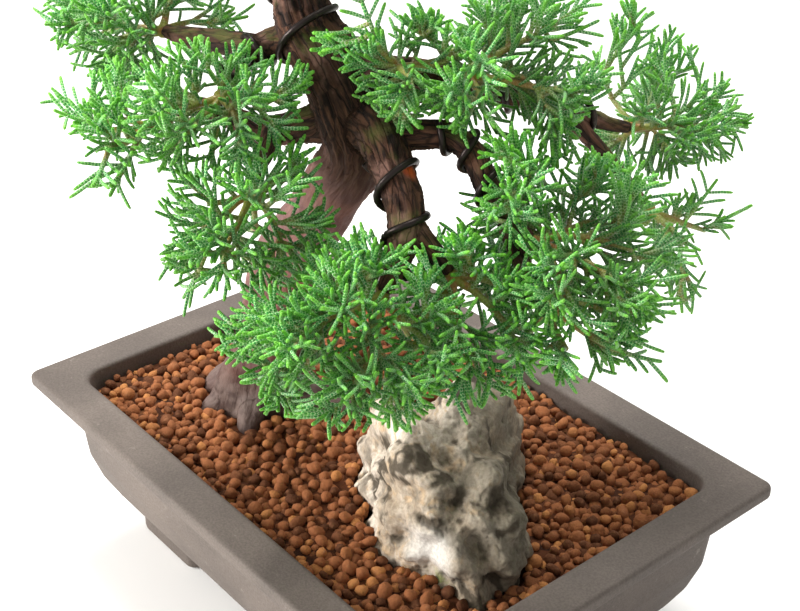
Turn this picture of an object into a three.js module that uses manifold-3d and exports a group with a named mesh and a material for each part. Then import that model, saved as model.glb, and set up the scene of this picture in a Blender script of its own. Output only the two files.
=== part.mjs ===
import * as THREE from 'three';
import { mergeVertices } from 'three/addons/utils/BufferGeometryUtils.js';
import Module from 'manifold-3d';

// A Chinese juniper bonsai in an unglazed clay pot with soil and a stone. Millimetres, +Z up.
// X runs along the long side of the pot and Y across it, both from the middle of the pot,
// and heights are measured from the ground that the feet stand on.

const wasm = await Module();
wasm.setup();

// The clearance between parts that touch, and the wider one round buried wood.
const GAP = 0.35;
const ROOM = 0.5;

const POT = {
  halfLength: 130,
  halfWidth: 93,
  cornerSteps: 3,
  floorTop: 18,
  // The profile's rows from this one on are the inside below the rim.
  insideFrom: 11,
};
const DRAIN = { radius: 9, offset: 48, sides: 14, reach: 30 };
const FOOT = {
  long: 45,
  short: 33,
  thick: 13,
  height: 14,
  inset: 30.5,
  bevel: 2,
  corner: 5,
  nose: 1.5,
  toe: 4,
  heel: 2,
};
const SOIL = { top: 73.5, under: 5, relief: 1.3, cell: 13, shift: 3, seed: 11 };
const SCREEN = { side: 25, thick: 1, bar: 3 };
const ROCK = {
  centre: [54.5, -11, 80],
  half: [50, 31, 40],
  turn: 2.62,
  lean: -0.1,
  narrow: 0.36,
  detail: 5,
  bottom: 69,
  pitSides: 18,
  pitRoom: 1.6,
  pitDepth: 20,
};
const WIRE = { radius: 1.2, sides: 4, steps: 9, gap: 0.45 };
const LIMB = { trunkSides: 10, thickSides: 6, thinSides: 5, thick: 4.5, buriedPoints: 4, smoothness: 4 };
// How deep the long hollows in the trunk are, as a share of its radius.
const FLUTE = 0.05;

// Outside and inside of the pot, as [height, distance in from the edge of the rim, corner radius].
const POT_PROFILE = [
  [10, 33, 7],
  [12.5, 29.5, 9],
  [22, 22, 11],
  [32, 17, 11],
  [43, 14, 10],
  [74.5, 12, 9],
  [76, 1, 4],
  [77, 0, 4],
  [81, 0, 4],
  [82, 1.2, 4],
  [82, 15.8, 9],
  [81, 17.2, 9],
  [72, 18, 9],
  [42, 20, 9],
  [25, 27, 9],
  [18, 35, 8],
];

// The trunk from below the soil to its tip, as [x, y, z, radius].
const TRUNK = [
  [-60, -18, 56, 19],
  [-60, -18, 72, 21],
  [-56, -17, 90, 17.5],
  [-45, -19, 115, 14.5],
  [-22, -28, 159, 12.8],
  [6, -34, 190, 11.8],
  [19, -35, 208, 11.2],
  [31, -33, 225, 11.6],
  [27, -34, 239, 12],
  [20, -36, 252, 11.2],
  [11, -38, 263, 9.8],
  [3, -36, 276, 8],
  [-5, -31, 292, 6],
  [-8, -25, 308, 4.2],
  [-5, -21, 320, 2.8],
];

// Surface roots, from inside the base of the trunk to where they go under.
const ROOTS = [
  [[-63, -18, 85, 10], [-73, -24, 79, 8], [-79, -28, 74, 6], [-85, -31, 64, 3.5]],
  [[-54, -20, 85, 9], [-48, -30, 78, 7], [-44, -36, 73, 5], [-39, -42, 64, 3]],
  [[-53, -14, 85, 9], [-38, -3, 78, 7], [-26, 5, 73, 5], [-14, 13, 64, 3]],
  [[-61, -12, 85, 9], [-67, 5, 78, 7], [-72, 18, 73, 5], [-78, 29, 64, 3]],
  [[-63, -24, 83, 8], [-65, -33, 77, 6], [-68, -39, 72, 4.5], [-72, -45, 64, 3]],
];

// Branches, each from inside its parent limb to the place where a pad of foliage begins.
const BRANCHES = {
  front: [[31, -33, 236, 9], [47, -37, 237, 7.6], [58, -42, 233, 7], [67, -45, 226, 6.4],
    [74, -49, 218, 5.4], [77, -56, 208, 3.8], [78, -61, 202, 2.6]],
  front_right: [[73, -47, 220, 4.2], [82, -44, 212, 3.4], [87, -42, 206, 2.4]],
  right: [[47, -37, 238, 6.5], [56, -30, 239, 5], [64, -22, 239, 4.6], [72, -19, 234, 4.4],
    [80, -20, 226, 4], [89, -18, 217, 3.2], [95, -15, 212, 2.4]],
  right_low: [[86, -19, 220, 3.4], [99, -22, 207, 2.8], [108, -20, 199, 2.2]],
  top_right: [[22, -35, 248, 8], [36, -27, 254, 5.2], [47, -18, 254, 4.2], [55, -11, 254, 2.6]],
  top_front: [[33, -29, 253, 4.2], [41, -32, 257, 3.2], [46, -31, 259, 2.2]],
  left_back: [[24, -36, 236, 8], [9, -45, 230, 5.4], [0, -52, 228, 4.8], [-8, -58, 232, 4.2],
    [-13, -68, 237, 3.4], [-13, -79, 238, 2.8], [-11, -87, 236, 2.2]],
  left_low: [[4, -48, 229, 4.6], [15, -62, 225, 3.2], [24, -72, 221, 2.2]],
  left: [[12, -38, 258, 8], [2, -45, 258, 5.4], [-3, -54, 254, 4.2], [2, -63, 250, 3.2],
    [7, -70, 248, 2.2]],
  back_left: [[-1, -49, 256, 5], [-16, -55, 256, 4.2], [-30, -60, 255, 3.4], [-41, -61, 254, 2.4]],
  back_right: [[23, -31, 245, 8], [33, -8, 242, 5], [45, 18, 237, 4.2], [54, 43, 228, 3.4],
    [58, 60, 219, 2.8], [59, 70, 215, 2.2]],
  back_right_low: [[53, 40, 229, 3.2], [67, 54, 208, 2.6], [77, 63, 192, 2]],
  back: [[3, -36, 272, 6.5], [-9, -18, 275, 4.6], [-22, 2, 275, 3.8], [-33, 20, 271, 2.4]],
  back_top: [[-3, -33, 286, 5], [7, -14, 290, 3.8], [19, 10, 289, 3.2], [28, 28, 286, 2.2]],
  crown_left: [[-7, -27, 302, 3.8], [-16, -31, 304, 3], [-23, -33, 303, 2.2]],
  crown_right: [[-6, -29, 298, 4], [6, -32, 304, 3], [15, -31, 306, 2.2]],
  crown: [[-8, -24, 310, 3.6], [-4, -20, 322, 2.6], [-3, -19, 325, 2.2]],
};

// The training wires: the limb that each goes round, the part of its length and the turns.
const WIRES = {
  trunk: { limb: 'trunk', from: 0.66, to: 0.9, turns: 3, start: 1 },
  front: { limb: 'front', from: 0.26, to: 0.86, turns: 2.5, start: 2.2 },
  right: { limb: 'right', from: 0.27, to: 0.82, turns: 3, start: 0.4 },
  left: { limb: 'left', from: 0.3, to: 0.85, turns: 2.5, start: 3 },
  back_right: { limb: 'back_right', from: 0.22, to: 0.72, turns: 3.5, start: 0 },
};

// Pads of foliage: the middle, level radius, half height and number of twigs of each.
const PADS = {
  front: { centre: [78, -73, 193], reach: 36, rise: 26, twigs: 6 },
  front_right: { centre: [97, -40, 192], reach: 27, rise: 24, twigs: 6 },
  right: { centre: [108, -7, 213], reach: 36, rise: 26, twigs: 6 },
  right_low: { centre: [117, -19, 193], reach: 23, rise: 15, twigs: 5 },
  top_right: { centre: [68, -2, 259], reach: 32, rise: 22, twigs: 5 },
  top_front: { centre: [53, -29, 262], reach: 21, rise: 15, twigs: 4 },
  left: { centre: [13, -79, 249], reach: 27, rise: 19, twigs: 5 },
  left_low: { centre: [32, -81, 214], reach: 27, rise: 27, twigs: 6 },
  far_left: { centre: [-9, -97, 233], reach: 23, rise: 16, twigs: 4, limb: 'left_back' },
  back_right: { centre: [60, 88, 214], reach: 31, rise: 20, twigs: 5 },
  back_right_low: { centre: [86, 71, 181], reach: 20, rise: 15, twigs: 4 },
  back_left: { centre: [-58, -62, 255], reach: 33, rise: 21, twigs: 5 },
  back: { centre: [-45, 38, 273], reach: 33, rise: 21, twigs: 5 },
  back_top: { centre: [37, 44, 288], reach: 30, rise: 19, twigs: 5 },
  crown_left: { centre: [-33, -33, 305], reach: 25, rise: 17, twigs: 5 },
  crown_right: { centre: [27, -29, 309], reach: 25, rise: 17, twigs: 5 },
  crown: { centre: [-2, -17, 333], reach: 27, rise: 19, twigs: 6 },
};
const PAD_SEED = 124;
// Lengths in millimetres and angles in radians of the sprays that make up a pad.
const SPRAY = {
  hub: 2.3,
  trials: 6,
  orderlyTrials: 2,
  twigReach: 0.56,
  twigLift: 0.35,
  twigTaper: 0.3,
  budLength: 1.9,
  cordAngle: 0.85,
  stemAngle: 1,
  stemTurn: 2.4,
  stemPull: 0.6,
  bareStart: 0.35,
  tipRadius: 0.55,
  twigRadius: 1.15,
  stemRadius: 1.0,
  cordRadius: 0.95,
  twigStep: 6.6,
  stemStep: 4.6,
  stemLength: 17.5,
  cordLength: 8.6,
  clearance: 0.45,
};

const COLOURS = {
  clay: 0x8a7c72,
  soil: 0x8a4f2e,
  plastic: 0x23262a,
  stone: 0xb4aa9a,
  bark: 0x6a4536,
  wire: 0x2b2724,
  foliage: 0x3f8f3c,
};

const vec = (x, y, z) => new THREE.Vector3(x, y, z);
const UP = vec(0, 0, 1);

// A seeded stream of numbers from 0 to 1.
function seeded(seed) {
  let state = seed >>> 0;
  return () => {
    state = (state + 0x6d2b79f5) >>> 0;
    let t = state;
    t = Math.imul(t ^ (t >>> 15), t | 1);
    t ^= t + Math.imul(t ^ (t >>> 7), t | 61);
    return ((t ^ (t >>> 14)) >>> 0) / 4294967296;
  };
}

const spread = (draw, amount) => (draw() - 0.5) * 2 * amount;

function fromTriangles(points, triangles) {
  const geometry = new THREE.BufferGeometry();
  const flat = points.flatMap((p) => [p.x, p.y, p.z]);
  geometry.setAttribute('position', new THREE.Float32BufferAttribute(flat, 3));
  geometry.setIndex(triangles.flat());
  return geometry;
}

function toSolid(source) {
  const bare = source.clone();
  bare.deleteAttribute('normal');
  bare.deleteAttribute('uv');
  const merged = mergeVertices(bare, 1e-4);
  return new wasm.Manifold(new wasm.Mesh({
    numProp: 3,
    vertProperties: new Float32Array(merged.attributes.position.array),
    triVerts: new Uint32Array(merged.index.array),
  }));
}

function fromSolid(solid) {
  const mesh = solid.getMesh();
  const geometry = new THREE.BufferGeometry();
  geometry.setAttribute('position', new THREE.Float32BufferAttribute(mesh.vertProperties, 3));
  geometry.setIndex(Array.from(mesh.triVerts));
  return geometry;
}

// A closed surface through rings of equally many points, with the ends filled by fans.
function loft(rings) {
  const count = rings[0].length;
  const points = rings.flat();
  const triangles = [];
  for (let ring = 0; ring + 1 < rings.length; ring++) {
    for (let i = 0; i < count; i++) {
      const a = ring * count + i;
      const b = ring * count + ((i + 1) % count);
      triangles.push([a, b, b + count], [a, b + count, a + count]);
    }
  }
  const last = (rings.length - 1) * count;
  for (let i = 1; i + 1 < count; i++) {
    triangles.push([0, i + 1, i], [last, last + i, last + i + 1]);
  }
  return fromTriangles(points, triangles);
}

function roundedRing(halfLength, halfWidth, radius, z) {
  const ring = [];
  for (let corner = 0; corner < 4; corner++) {
    const sx = corner === 0 || corner === 3 ? 1 : -1;
    const sy = corner < 2 ? 1 : -1;
    for (let step = 0; step <= POT.cornerSteps; step++) {
      const angle = (corner + step / POT.cornerSteps) * Math.PI / 2;
      const x = sx * (halfLength - radius) + radius * Math.cos(angle);
      const y = sy * (halfWidth - radius) + radius * Math.sin(angle);
      ring.push(vec(x, y, z));
    }
  }
  return ring;
}

function potRing([z, inset, radius], shrink = 0) {
  const away = inset + shrink;
  return roundedRing(POT.halfLength - away, POT.halfWidth - away, radius, z);
}

// An L-shaped foot under one corner of the pot, its legs along both sides.
function foot(signX, signY) {
  const x = POT.halfLength - FOOT.inset;
  const y = POT.halfWidth - FOOT.inset;
  const outline = [
    [x, y - FOOT.corner],
    [x - FOOT.nose, y - FOOT.nose],
    [x - FOOT.corner, y],
    [x - FOOT.long + FOOT.toe, y],
    [x - FOOT.long, y - FOOT.corner],
    [x - FOOT.long + FOOT.heel, y - FOOT.thick],
    [x - FOOT.thick, y - FOOT.thick],
    [x - FOOT.thick, y - FOOT.short + FOOT.heel],
    [x - FOOT.corner, y - FOOT.short],
    [x, y - FOOT.short + FOOT.toe],
  ];
  const corners = outline.map(([px, py]) => new THREE.Vector2(px * signX, py * signY));
  const geometry = new THREE.ExtrudeGeometry(new THREE.Shape(corners), {
    depth: FOOT.height - FOOT.bevel,
    bevelEnabled: true,
    bevelThickness: FOOT.bevel,
    bevelSize: FOOT.bevel,
    bevelOffset: -FOOT.bevel,
    bevelSegments: 1,
  });
  geometry.translate(0, 0, FOOT.bevel);
  return geometry;
}

function potGeometry() {
  let solid = toSolid(loft(POT_PROFILE.map((row) => potRing(row))));
  for (const [sx, sy] of [[1, 1], [-1, 1], [-1, -1], [1, -1]]) {
    solid = solid.add(toSolid(foot(sx, sy)));
  }
  for (const side of [-1, 1]) {
    const drill = new THREE.CylinderGeometry(DRAIN.radius, DRAIN.radius, DRAIN.reach, DRAIN.sides);
    drill.rotateX(Math.PI / 2);
    drill.translate(side * DRAIN.offset, 0, DRAIN.reach / 2);
    solid = solid.subtract(toSolid(drill));
  }
  return fromSolid(solid);
}

// A screen of crossing bars that lies on the floor of the pot over one drain hole.
function screenGeometry(side) {
  const reach = (SCREEN.side - SCREEN.bar) / 2;
  let solid = null;
  for (const place of [-reach, 0, reach]) {
    const lengthways = new THREE.BoxGeometry(SCREEN.side, SCREEN.bar, SCREEN.thick);
    lengthways.translate(0, place, 0);
    const crossways = new THREE.BoxGeometry(SCREEN.bar, SCREEN.side, SCREEN.thick);
    crossways.translate(place, 0, 0);
    const pair = toSolid(lengthways).add(toSolid(crossways));
    solid = solid ? solid.add(pair) : pair;
  }
  const geometry = fromSolid(solid);
  geometry.translate(side * DRAIN.offset, 0, POT.floorTop + GAP + SCREEN.thick / 2);
  return geometry;
}

// A block whose top is uneven like a bed of grains.
function granularBlock() {
  const draw = seeded(SOIL.seed);
  const columns = Math.round(2 * POT.halfLength / SOIL.cell);
  const rows = Math.round(2 * POT.halfWidth / SOIL.cell);
  const points = [];
  for (let layer = 0; layer < 2; layer++) {
    for (let row = 0; row <= rows; row++) {
      for (let column = 0; column <= columns; column++) {
        const shiftX = layer ? spread(draw, SOIL.shift) : 0;
        const shiftY = layer ? spread(draw, SOIL.shift) : 0;
        const bump = spread(draw, SOIL.relief);
        const x = (column / columns - 0.5) * 2 * POT.halfLength + shiftX;
        const y = (row / rows - 0.5) * 2 * POT.halfWidth + shiftY;
        points.push(vec(x, y, layer ? SOIL.top + bump : SOIL.under));
      }
    }
  }
  const wide = columns + 1;
  const upper = wide * (rows + 1);
  const triangles = [];
  for (let row = 0; row < rows; row++) {
    for (let column = 0; column < columns; column++) {
      const a = row * wide + column;
      const b = a + 1;
      const c = b + wide;
      const d = a + wide;
      triangles.push([a, c, b], [a, d, c]);
      triangles.push([a + upper, b + upper, c + upper], [a + upper, c + upper, d + upper]);
    }
  }
  for (let column = 0; column < columns; column++) {
    const a = column;
    const d = rows * wide + column;
    triangles.push([a, a + 1, a + 1 + upper], [a, a + 1 + upper, a + upper]);
    triangles.push([d + 1, d, d + upper], [d + 1, d + upper, d + 1 + upper]);
  }
  for (let row = 0; row < rows; row++) {
    const a = row * wide;
    const b = a + columns;
    triangles.push([a + wide, a, a + upper], [a + wide, a + upper, a + wide + upper]);
    triangles.push([b, b + wide, b + wide + upper], [b, b + wide + upper, b + upper]);
  }
  return fromTriangles(points, triangles);
}

// The surface of the rough boulder in the given direction from its middle.
function rockPoint(x, y, z) {
  const slabs = 0.09 * Math.sin(5.1 * x + 2.3 * y + 1.1)
    + 0.07 * Math.sin(6.3 * y - 3.7 * z + 0.4);
  const crags = 0.05 * Math.sin(11 * x + 7 * z) * Math.sin(9 * y + 2)
    + 0.03 * Math.sin(17 * z + 8 * x);
  const size = (0.94 + slabs + crags) / Math.pow(x ** 4 + y ** 4 + z ** 4, 0.18);
  const taper = 1 - 0.12 * Math.max(0, z);
  const rise = z * size * ROCK.half[2];
  const along = x * size * taper * ROCK.half[0] - ROCK.lean * rise;
  const across = y * size * taper * ROCK.half[1] * (1 + ROCK.narrow * x);
  const cos = Math.cos(ROCK.turn);
  const sin = Math.sin(ROCK.turn);
  return vec(
    ROCK.centre[0] + along * cos - across * sin,
    ROCK.centre[1] + along * sin + across * cos,
    ROCK.centre[2] + rise,
  );
}

function rockSolid() {
  const ball = new THREE.IcosahedronGeometry(1, ROCK.detail);
  const position = ball.attributes.position;
  for (let i = 0; i < position.count; i++) {
    const point = rockPoint(position.getX(i), position.getY(i), position.getZ(i));
    position.setXYZ(i, point.x, point.y, point.z);
  }
  const wide = 4 * ROCK.half[0];
  const below = new THREE.BoxGeometry(wide, wide, wide);
  below.translate(ROCK.centre[0], ROCK.centre[1], ROCK.bottom - wide / 2);
  return toSolid(ball).subtract(toSolid(below));
}

// The plain hole in the soil that the foot of the boulder stands in.
function rockPit() {
  const corners = [];
  for (let i = 0; i < ROCK.pitSides; i++) {
    const angle = 2 * Math.PI * i / ROCK.pitSides;
    let widest = null;
    let most = 0;
    for (const tilt of [-0.5, -0.4, -0.3, -0.2, -0.1, 0]) {
      const level = Math.sqrt(1 - tilt * tilt);
      const point = rockPoint(level * Math.cos(angle), level * Math.sin(angle), tilt);
      const reach = Math.hypot(point.x - ROCK.centre[0], point.y - ROCK.centre[1]);
      if (reach > most) {
        most = reach;
        widest = point;
      }
    }
    const grow = 1 + ROCK.pitRoom / most;
    corners.push(new THREE.Vector2(
      ROCK.centre[0] + (widest.x - ROCK.centre[0]) * grow,
      ROCK.centre[1] + (widest.y - ROCK.centre[1]) * grow,
    ));
  }
  const pit = new THREE.ExtrudeGeometry(new THREE.Shape(corners), {
    depth: ROCK.pitDepth,
    bevelEnabled: false,
  });
  pit.translate(0, 0, ROCK.bottom - GAP);
  return pit;
}

// Points [x, y, z, radius] on a smooth curve through the given ones.
function smooth(knots) {
  const steps = LIMB.smoothness;
  const out = [];
  for (let i = 0; i + 1 < knots.length; i++) {
    const a = knots[Math.max(i - 1, 0)];
    const b = knots[i];
    const c = knots[i + 1];
    const d = knots[Math.min(i + 2, knots.length - 1)];
    for (let step = 0; step < steps; step++) {
      const t = step / steps;
      out.push(b.map((value, k) => 0.5 * (2 * value + (c[k] - a[k]) * t
        + (2 * a[k] - 5 * value + 4 * c[k] - d[k]) * t * t
        + (3 * value - a[k] - 3 * c[k] + d[k]) * t * t * t)));
    }
  }
  out.push(knots[knots.length - 1]);
  return out;
}

// The curve's points with a frame carried along it, so that rings do not twist.
function framed(path) {
  const points = path.map(([x, y, z]) => vec(x, y, z));
  let side = null;
  return points.map((point, i) => {
    const before = points[Math.max(i - 1, 0)];
    const after = points[Math.min(i + 1, points.length - 1)];
    const along = after.clone().sub(before).normalize();
    const start = side ?? (Math.abs(along.z) > 0.8 ? vec(1, 0, 0) : UP.clone());
    side = start.clone().addScaledVector(along, -start.dot(along)).normalize();
    return { point, along, side, over: along.clone().cross(side), radius: path[i][3] };
  });
}

// A closed tube along the path, thicker by the growth and with hollows as deep as the flute.
function tube(path, sides, growth = 0, flute = 0) {
  const frames = framed(path);
  const rings = frames.map(({ point, side, over, radius }, i) => {
    const ring = [];
    for (let k = 0; k < sides; k++) {
      const angle = 2 * Math.PI * k / sides;
      const waves = Math.sin(3 * angle + 0.55 * i) + 0.6 * Math.sin(5 * angle - 0.4 * i);
      const r = radius * (1 + flute * waves) + growth;
      const corner = point.clone().addScaledVector(side, r * Math.cos(angle));
      ring.push(corner.addScaledVector(over, r * Math.sin(angle)));
    }
    return ring;
  });
  return loft(rings);
}

function limbPath(name) {
  return name === 'trunk' ? TRUNK : BRANCHES[name];
}

// A wire wound round a limb, clear of it by a small gap.
function wirePath({ limb, from, to, turns, start }) {
  const frames = framed(smooth(limbPath(limb)));
  const steps = Math.round(turns * WIRE.steps);
  const path = [];
  for (let i = 0; i <= steps; i++) {
    const place = (from + (to - from) * i / steps) * (frames.length - 1);
    const low = Math.floor(place);
    const high = Math.min(low + 1, frames.length - 1);
    const mix = place - low;
    const point = frames[low].point.clone().lerp(frames[high].point, mix);
    const side = frames[low].side.clone().lerp(frames[high].side, mix).normalize();
    const over = frames[low].over.clone().lerp(frames[high].over, mix).normalize();
    const angle = start + 2 * Math.PI * turns * i / steps;
    const thick = THREE.MathUtils.lerp(frames[low].radius, frames[high].radius, mix);
    const bare = thick * (limb === 'trunk' ? 1 + 1.6 * FLUTE : 1) + WIRE.radius + WIRE.gap;
    const away = bare / Math.cos(Math.PI / WIRE.steps);
    point.addScaledVector(side, away * Math.cos(angle));
    point.addScaledVector(over, away * Math.sin(angle));
    path.push([point.x, point.y, point.z, WIRE.radius]);
  }
  return path;
}

function woodGeometry() {
  let solid = toSolid(tube(TRUNK, LIMB.trunkSides, 0, FLUTE));
  for (const root of ROOTS) {
    solid = solid.add(toSolid(tube(root, LIMB.thinSides)));
  }
  for (const branch of Object.values(BRANCHES)) {
    const sides = branch[0][3] > LIMB.thick ? LIMB.thickSides : LIMB.thinSides;
    solid = solid.add(toSolid(tube(branch, sides)));
  }
  for (const wire of Object.values(WIRES)) {
    solid = solid.subtract(toSolid(tube(wirePath(wire), WIRE.sides, GAP)));
  }
  return fromSolid(solid);
}

function soilGeometry() {
  const inside = POT_PROFILE.slice(POT.insideFrom).map((row) => potRing(row, GAP));
  inside.reverse();
  for (const point of inside[0]) {
    point.z += ROOM + SCREEN.thick;
  }
  let solid = toSolid(loft(inside)).intersect(toSolid(granularBlock()));
  const buried = TRUNK.slice(0, LIMB.buriedPoints);
  solid = solid.subtract(toSolid(tube(buried, LIMB.trunkSides, ROOM, FLUTE)));
  for (const root of ROOTS) {
    solid = solid.subtract(toSolid(tube(root, LIMB.thinSides, ROOM)));
  }
  solid = solid.subtract(toSolid(rockPit()));
  return fromSolid(solid);
}

// The shortest distance between the segments a-b and c-d.
function segmentDistance(a, b, c, d) {
  const u = b.clone().sub(a);
  const v = d.clone().sub(c);
  const w = a.clone().sub(c);
  const uu = u.dot(u);
  const uv = u.dot(v);
  const vv = v.dot(v);
  const uw = u.dot(w);
  const vw = v.dot(w);
  const wide = uu * vv - uv * uv;
  let s = wide > 1e-9 ? THREE.MathUtils.clamp((uv * vw - vv * uw) / wide, 0, 1) : 0;
  const t = THREE.MathUtils.clamp((uv * s + vw) / vv, 0, 1);
  s = THREE.MathUtils.clamp((uv * t - uw) / uu, 0, 1);
  return w.addScaledVector(u, s).addScaledVector(v, -t).length();
}

// What already takes up room: segments with a radius and the piece of growth that each is.
const taken = [];

// Whether a piece from a to b keeps clear of all others, apart from those that count as kin.
function isFree(a, b, radius, isKin) {
  const middle = a.clone().add(b).multiplyScalar(0.5);
  const half = a.distanceTo(b) / 2;
  for (const other of taken) {
    const near = radius + other.radius + SPRAY.clearance;
    if (middle.distanceTo(other.middle) > half + other.half + near || isKin(other.name)) {
      continue;
    }
    if (segmentDistance(a, b, other.a, other.b) < near) {
      return false;
    }
  }
  return true;
}

function take(a, b, radius, name) {
  const middle = a.clone().add(b).multiplyScalar(0.5);
  taken.push({ a: a.clone(), b: b.clone(), middle, half: a.distanceTo(b) / 2, radius, name });
}

function takePath(path, name) {
  for (let i = 0; i + 1 < path.length; i++) {
    const radius = Math.max(path[i][3], path[i + 1][3]);
    take(vec(...path[i].slice(0, 3)), vec(...path[i + 1].slice(0, 3)), radius, name);
  }
}

// A closed surface that grows: any of its triangles can be drawn out into a three-sided shoot.
class Growth {
  constructor(geometry) {
    const source = mergeVertices(geometry, 1e-4);
    const { position } = source.attributes;
    this.points = [];
    for (let i = 0; i < position.count; i++) {
      this.points.push(vec(position.getX(i), position.getY(i), position.getZ(i)));
    }
    this.faces = [];
    const index = source.index.array;
    for (let i = 0; i < index.length; i += 3) {
      this.faces.push([index[i], index[i + 1], index[i + 2]]);
    }
    this.hub = [...this.faces];
  }

  normal(face) {
    const [a, b, c] = face.map((i) => this.points[i]);
    return b.clone().sub(a).cross(c.clone().sub(a)).normalize();
  }

  middle(face) {
    const [a, b, c] = face.map((i) => this.points[i]);
    return a.clone().add(b).add(c).divideScalar(3);
  }

  // The free face of the hub that looks most along the direction.
  hubFacing(direction) {
    let best = null;
    let most = 0.3;
    for (const face of this.hub) {
      const match = face.used ? -1 : this.normal(face).dot(direction);
      if (match > most) {
        most = match;
        best = face;
      }
    }
    return best;
  }

  remove(face) {
    face.used = true;
    this.faces.splice(this.faces.indexOf(face), 1);
  }

  // Draws a face out along points with a radius at each, and returns the sides of each length.
  draw(face, path, radii) {
    this.remove(face);
    let ring = face;
    let spoke = this.points[face[0]].clone().sub(this.middle(face));
    const lengths = [];
    path.forEach((point, i) => {
      const before = i ? path[i - 1] : this.middle(face);
      const after = path[Math.min(i + 1, path.length - 1)];
      const along = after.clone().sub(before).normalize();
      spoke = spoke.addScaledVector(along, -spoke.dot(along)).normalize();
      const across = along.clone().cross(spoke);
      const next = [0, 1, 2].map((k) => {
        const angle = 2 * Math.PI * k / 3;
        const out = spoke.clone().multiplyScalar(Math.cos(angle));
        out.addScaledVector(across, Math.sin(angle));
        this.points.push(point.clone().addScaledVector(out, radii[i]));
        return this.points.length - 1;
      });
      const sides = [0, 1, 2].map((k) => {
        const m = (k + 1) % 3;
        const lower = [ring[k], ring[m], next[m]];
        const upper = [ring[k], next[m], next[k]];
        this.faces.push(lower, upper);
        return { lower, upper, corners: [ring[k], ring[m], next[m], next[k]] };
      });
      lengths.push(sides);
      ring = next;
    });
    this.faces.push([...ring]);
    return lengths;
  }

  // The free side of the given ones that looks most along the direction.
  sideFacing(sides, direction) {
    let best = null;
    let most = 0.35;
    for (const side of sides) {
      const match = side.used ? -1 : this.normal(side.lower).dot(direction);
      if (match > most) {
        most = match;
        best = side;
      }
    }
    return best;
  }

  // The middle of a side's near edge and of its far edge, and how far back a bud reaches.
  budFrame({ corners: [a, b, c, d] }) {
    const near = this.points[a].clone().add(this.points[b]).multiplyScalar(0.5);
    const far = this.points[c].clone().add(this.points[d]).multiplyScalar(0.5);
    return { near, far, back: Math.min(0.8, SPRAY.budLength / near.distanceTo(far)) };
  }

  budPlace(side) {
    const { near, far, back } = this.budFrame(side);
    return far.lerp(near, back / 3);
  }

  // Makes a small bud face at the far end of a side.
  bud(side) {
    side.used = true;
    this.remove(side.lower);
    this.remove(side.upper);
    const [a, b, c, d] = side.corners;
    const { near, far, back } = this.budFrame(side);
    this.points.push(far.lerp(near, back));
    const m = this.points.length - 1;
    const face = [c, d, m];
    this.faces.push([a, b, m], [b, c, m], [d, a, m], face);
    return face;
  }

  // Draws a face out into a cord with a short edge for a tip.
  cord(face, tip, radius) {
    this.remove(face);
    const along = tip.clone().sub(this.middle(face)).normalize();
    const edge = this.points[face[1]].clone().sub(this.points[face[0]]);
    edge.addScaledVector(along, -edge.dot(along)).normalize().multiplyScalar(radius);
    const first = this.points.length;
    this.points.push(tip.clone().sub(edge), tip.clone().add(edge));
    const [a, b, c] = face;
    this.faces.push([a, b, first + 1], [a, first + 1, first]);
    this.faces.push([b, c, first + 1], [c, a, first], [c, first, first + 1]);
  }

  geometry() {
    return fromTriangles(this.points, this.faces);
  }
}

// A direction turned out of another one by an angle, round it by another.
function turned(along, angle, around) {
  const across = along.clone().cross(Math.abs(along.z) > 0.9 ? vec(1, 0, 0) : UP).normalize();
  const over = across.clone().cross(along);
  return along.clone().multiplyScalar(Math.cos(angle))
    .addScaledVector(across, Math.sin(angle) * Math.cos(around))
    .addScaledVector(over, Math.sin(angle) * Math.sin(around));
}

// The cords on both sides of a stem.
function growCords(growth, lengths, direction, side, draw, stem) {
  for (const sides of lengths) {
    for (const sign of [1, -1]) {
      const angle = SPRAY.cordAngle + spread(draw, 0.15);
      const size = SPRAY.cordLength * (0.8 + 0.4 * draw());
      const out = direction.clone().multiplyScalar(Math.cos(angle));
      out.addScaledVector(side, sign * Math.sin(angle));
      const place = growth.sideFacing(sides, out);
      if (!place) {
        continue;
      }
      const root = growth.budPlace(place);
      const tip = root.clone().addScaledVector(out, size);
      if (isFree(root, tip, SPRAY.cordRadius, (name) => name === stem)) {
        growth.cord(growth.bud(place), tip, SPRAY.tipRadius);
        take(root, tip, SPRAY.cordRadius, stem);
      }
    }
  }
}

// One stem of a spray from a root: a slim rachis with cords on both sides of it.
function growStem(growth, root, openFace, direction, draw, pad, twig) {
  const length = SPRAY.stemLength * (0.8 + 0.4 * draw());
  const roll = spread(draw, 0.9);
  const level = turned(direction, Math.PI / 2, Math.PI / 2);
  const flat = turned(direction, Math.PI / 2, 0);
  const side = flat.multiplyScalar(Math.cos(roll)).addScaledVector(level, Math.sin(roll));
  const bend = UP.clone().multiplyScalar(length * (0.04 + 0.1 * draw()));
  const at = (t) => root.clone().addScaledVector(direction, length * t).addScaledVector(bend, t * t);
  const isBase = (name) => name === pad || name === twig;
  if (!isFree(root, at(1), SPRAY.cordRadius, isBase)
    || !isFree(at(SPRAY.bareStart), at(1), SPRAY.cordRadius, () => false)) {
    return false;
  }
  const steps = Math.max(2, Math.round(length / SPRAY.stemStep));
  const path = [];
  for (let i = 1; i < steps; i++) {
    path.push(at(i / steps));
  }
  const lengths = growth.draw(openFace(), path, path.map(() => SPRAY.stemRadius));
  growth.cord(growth.faces[growth.faces.length - 1], at(1), SPRAY.tipRadius);
  const stem = `${twig}/${taken.length}`;
  take(root, at(0.5), SPRAY.cordRadius, stem);
  take(at(0.5), at(1), SPRAY.cordRadius, stem);
  growCords(growth, lengths, direction, side, draw, stem);
  return true;
}

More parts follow.
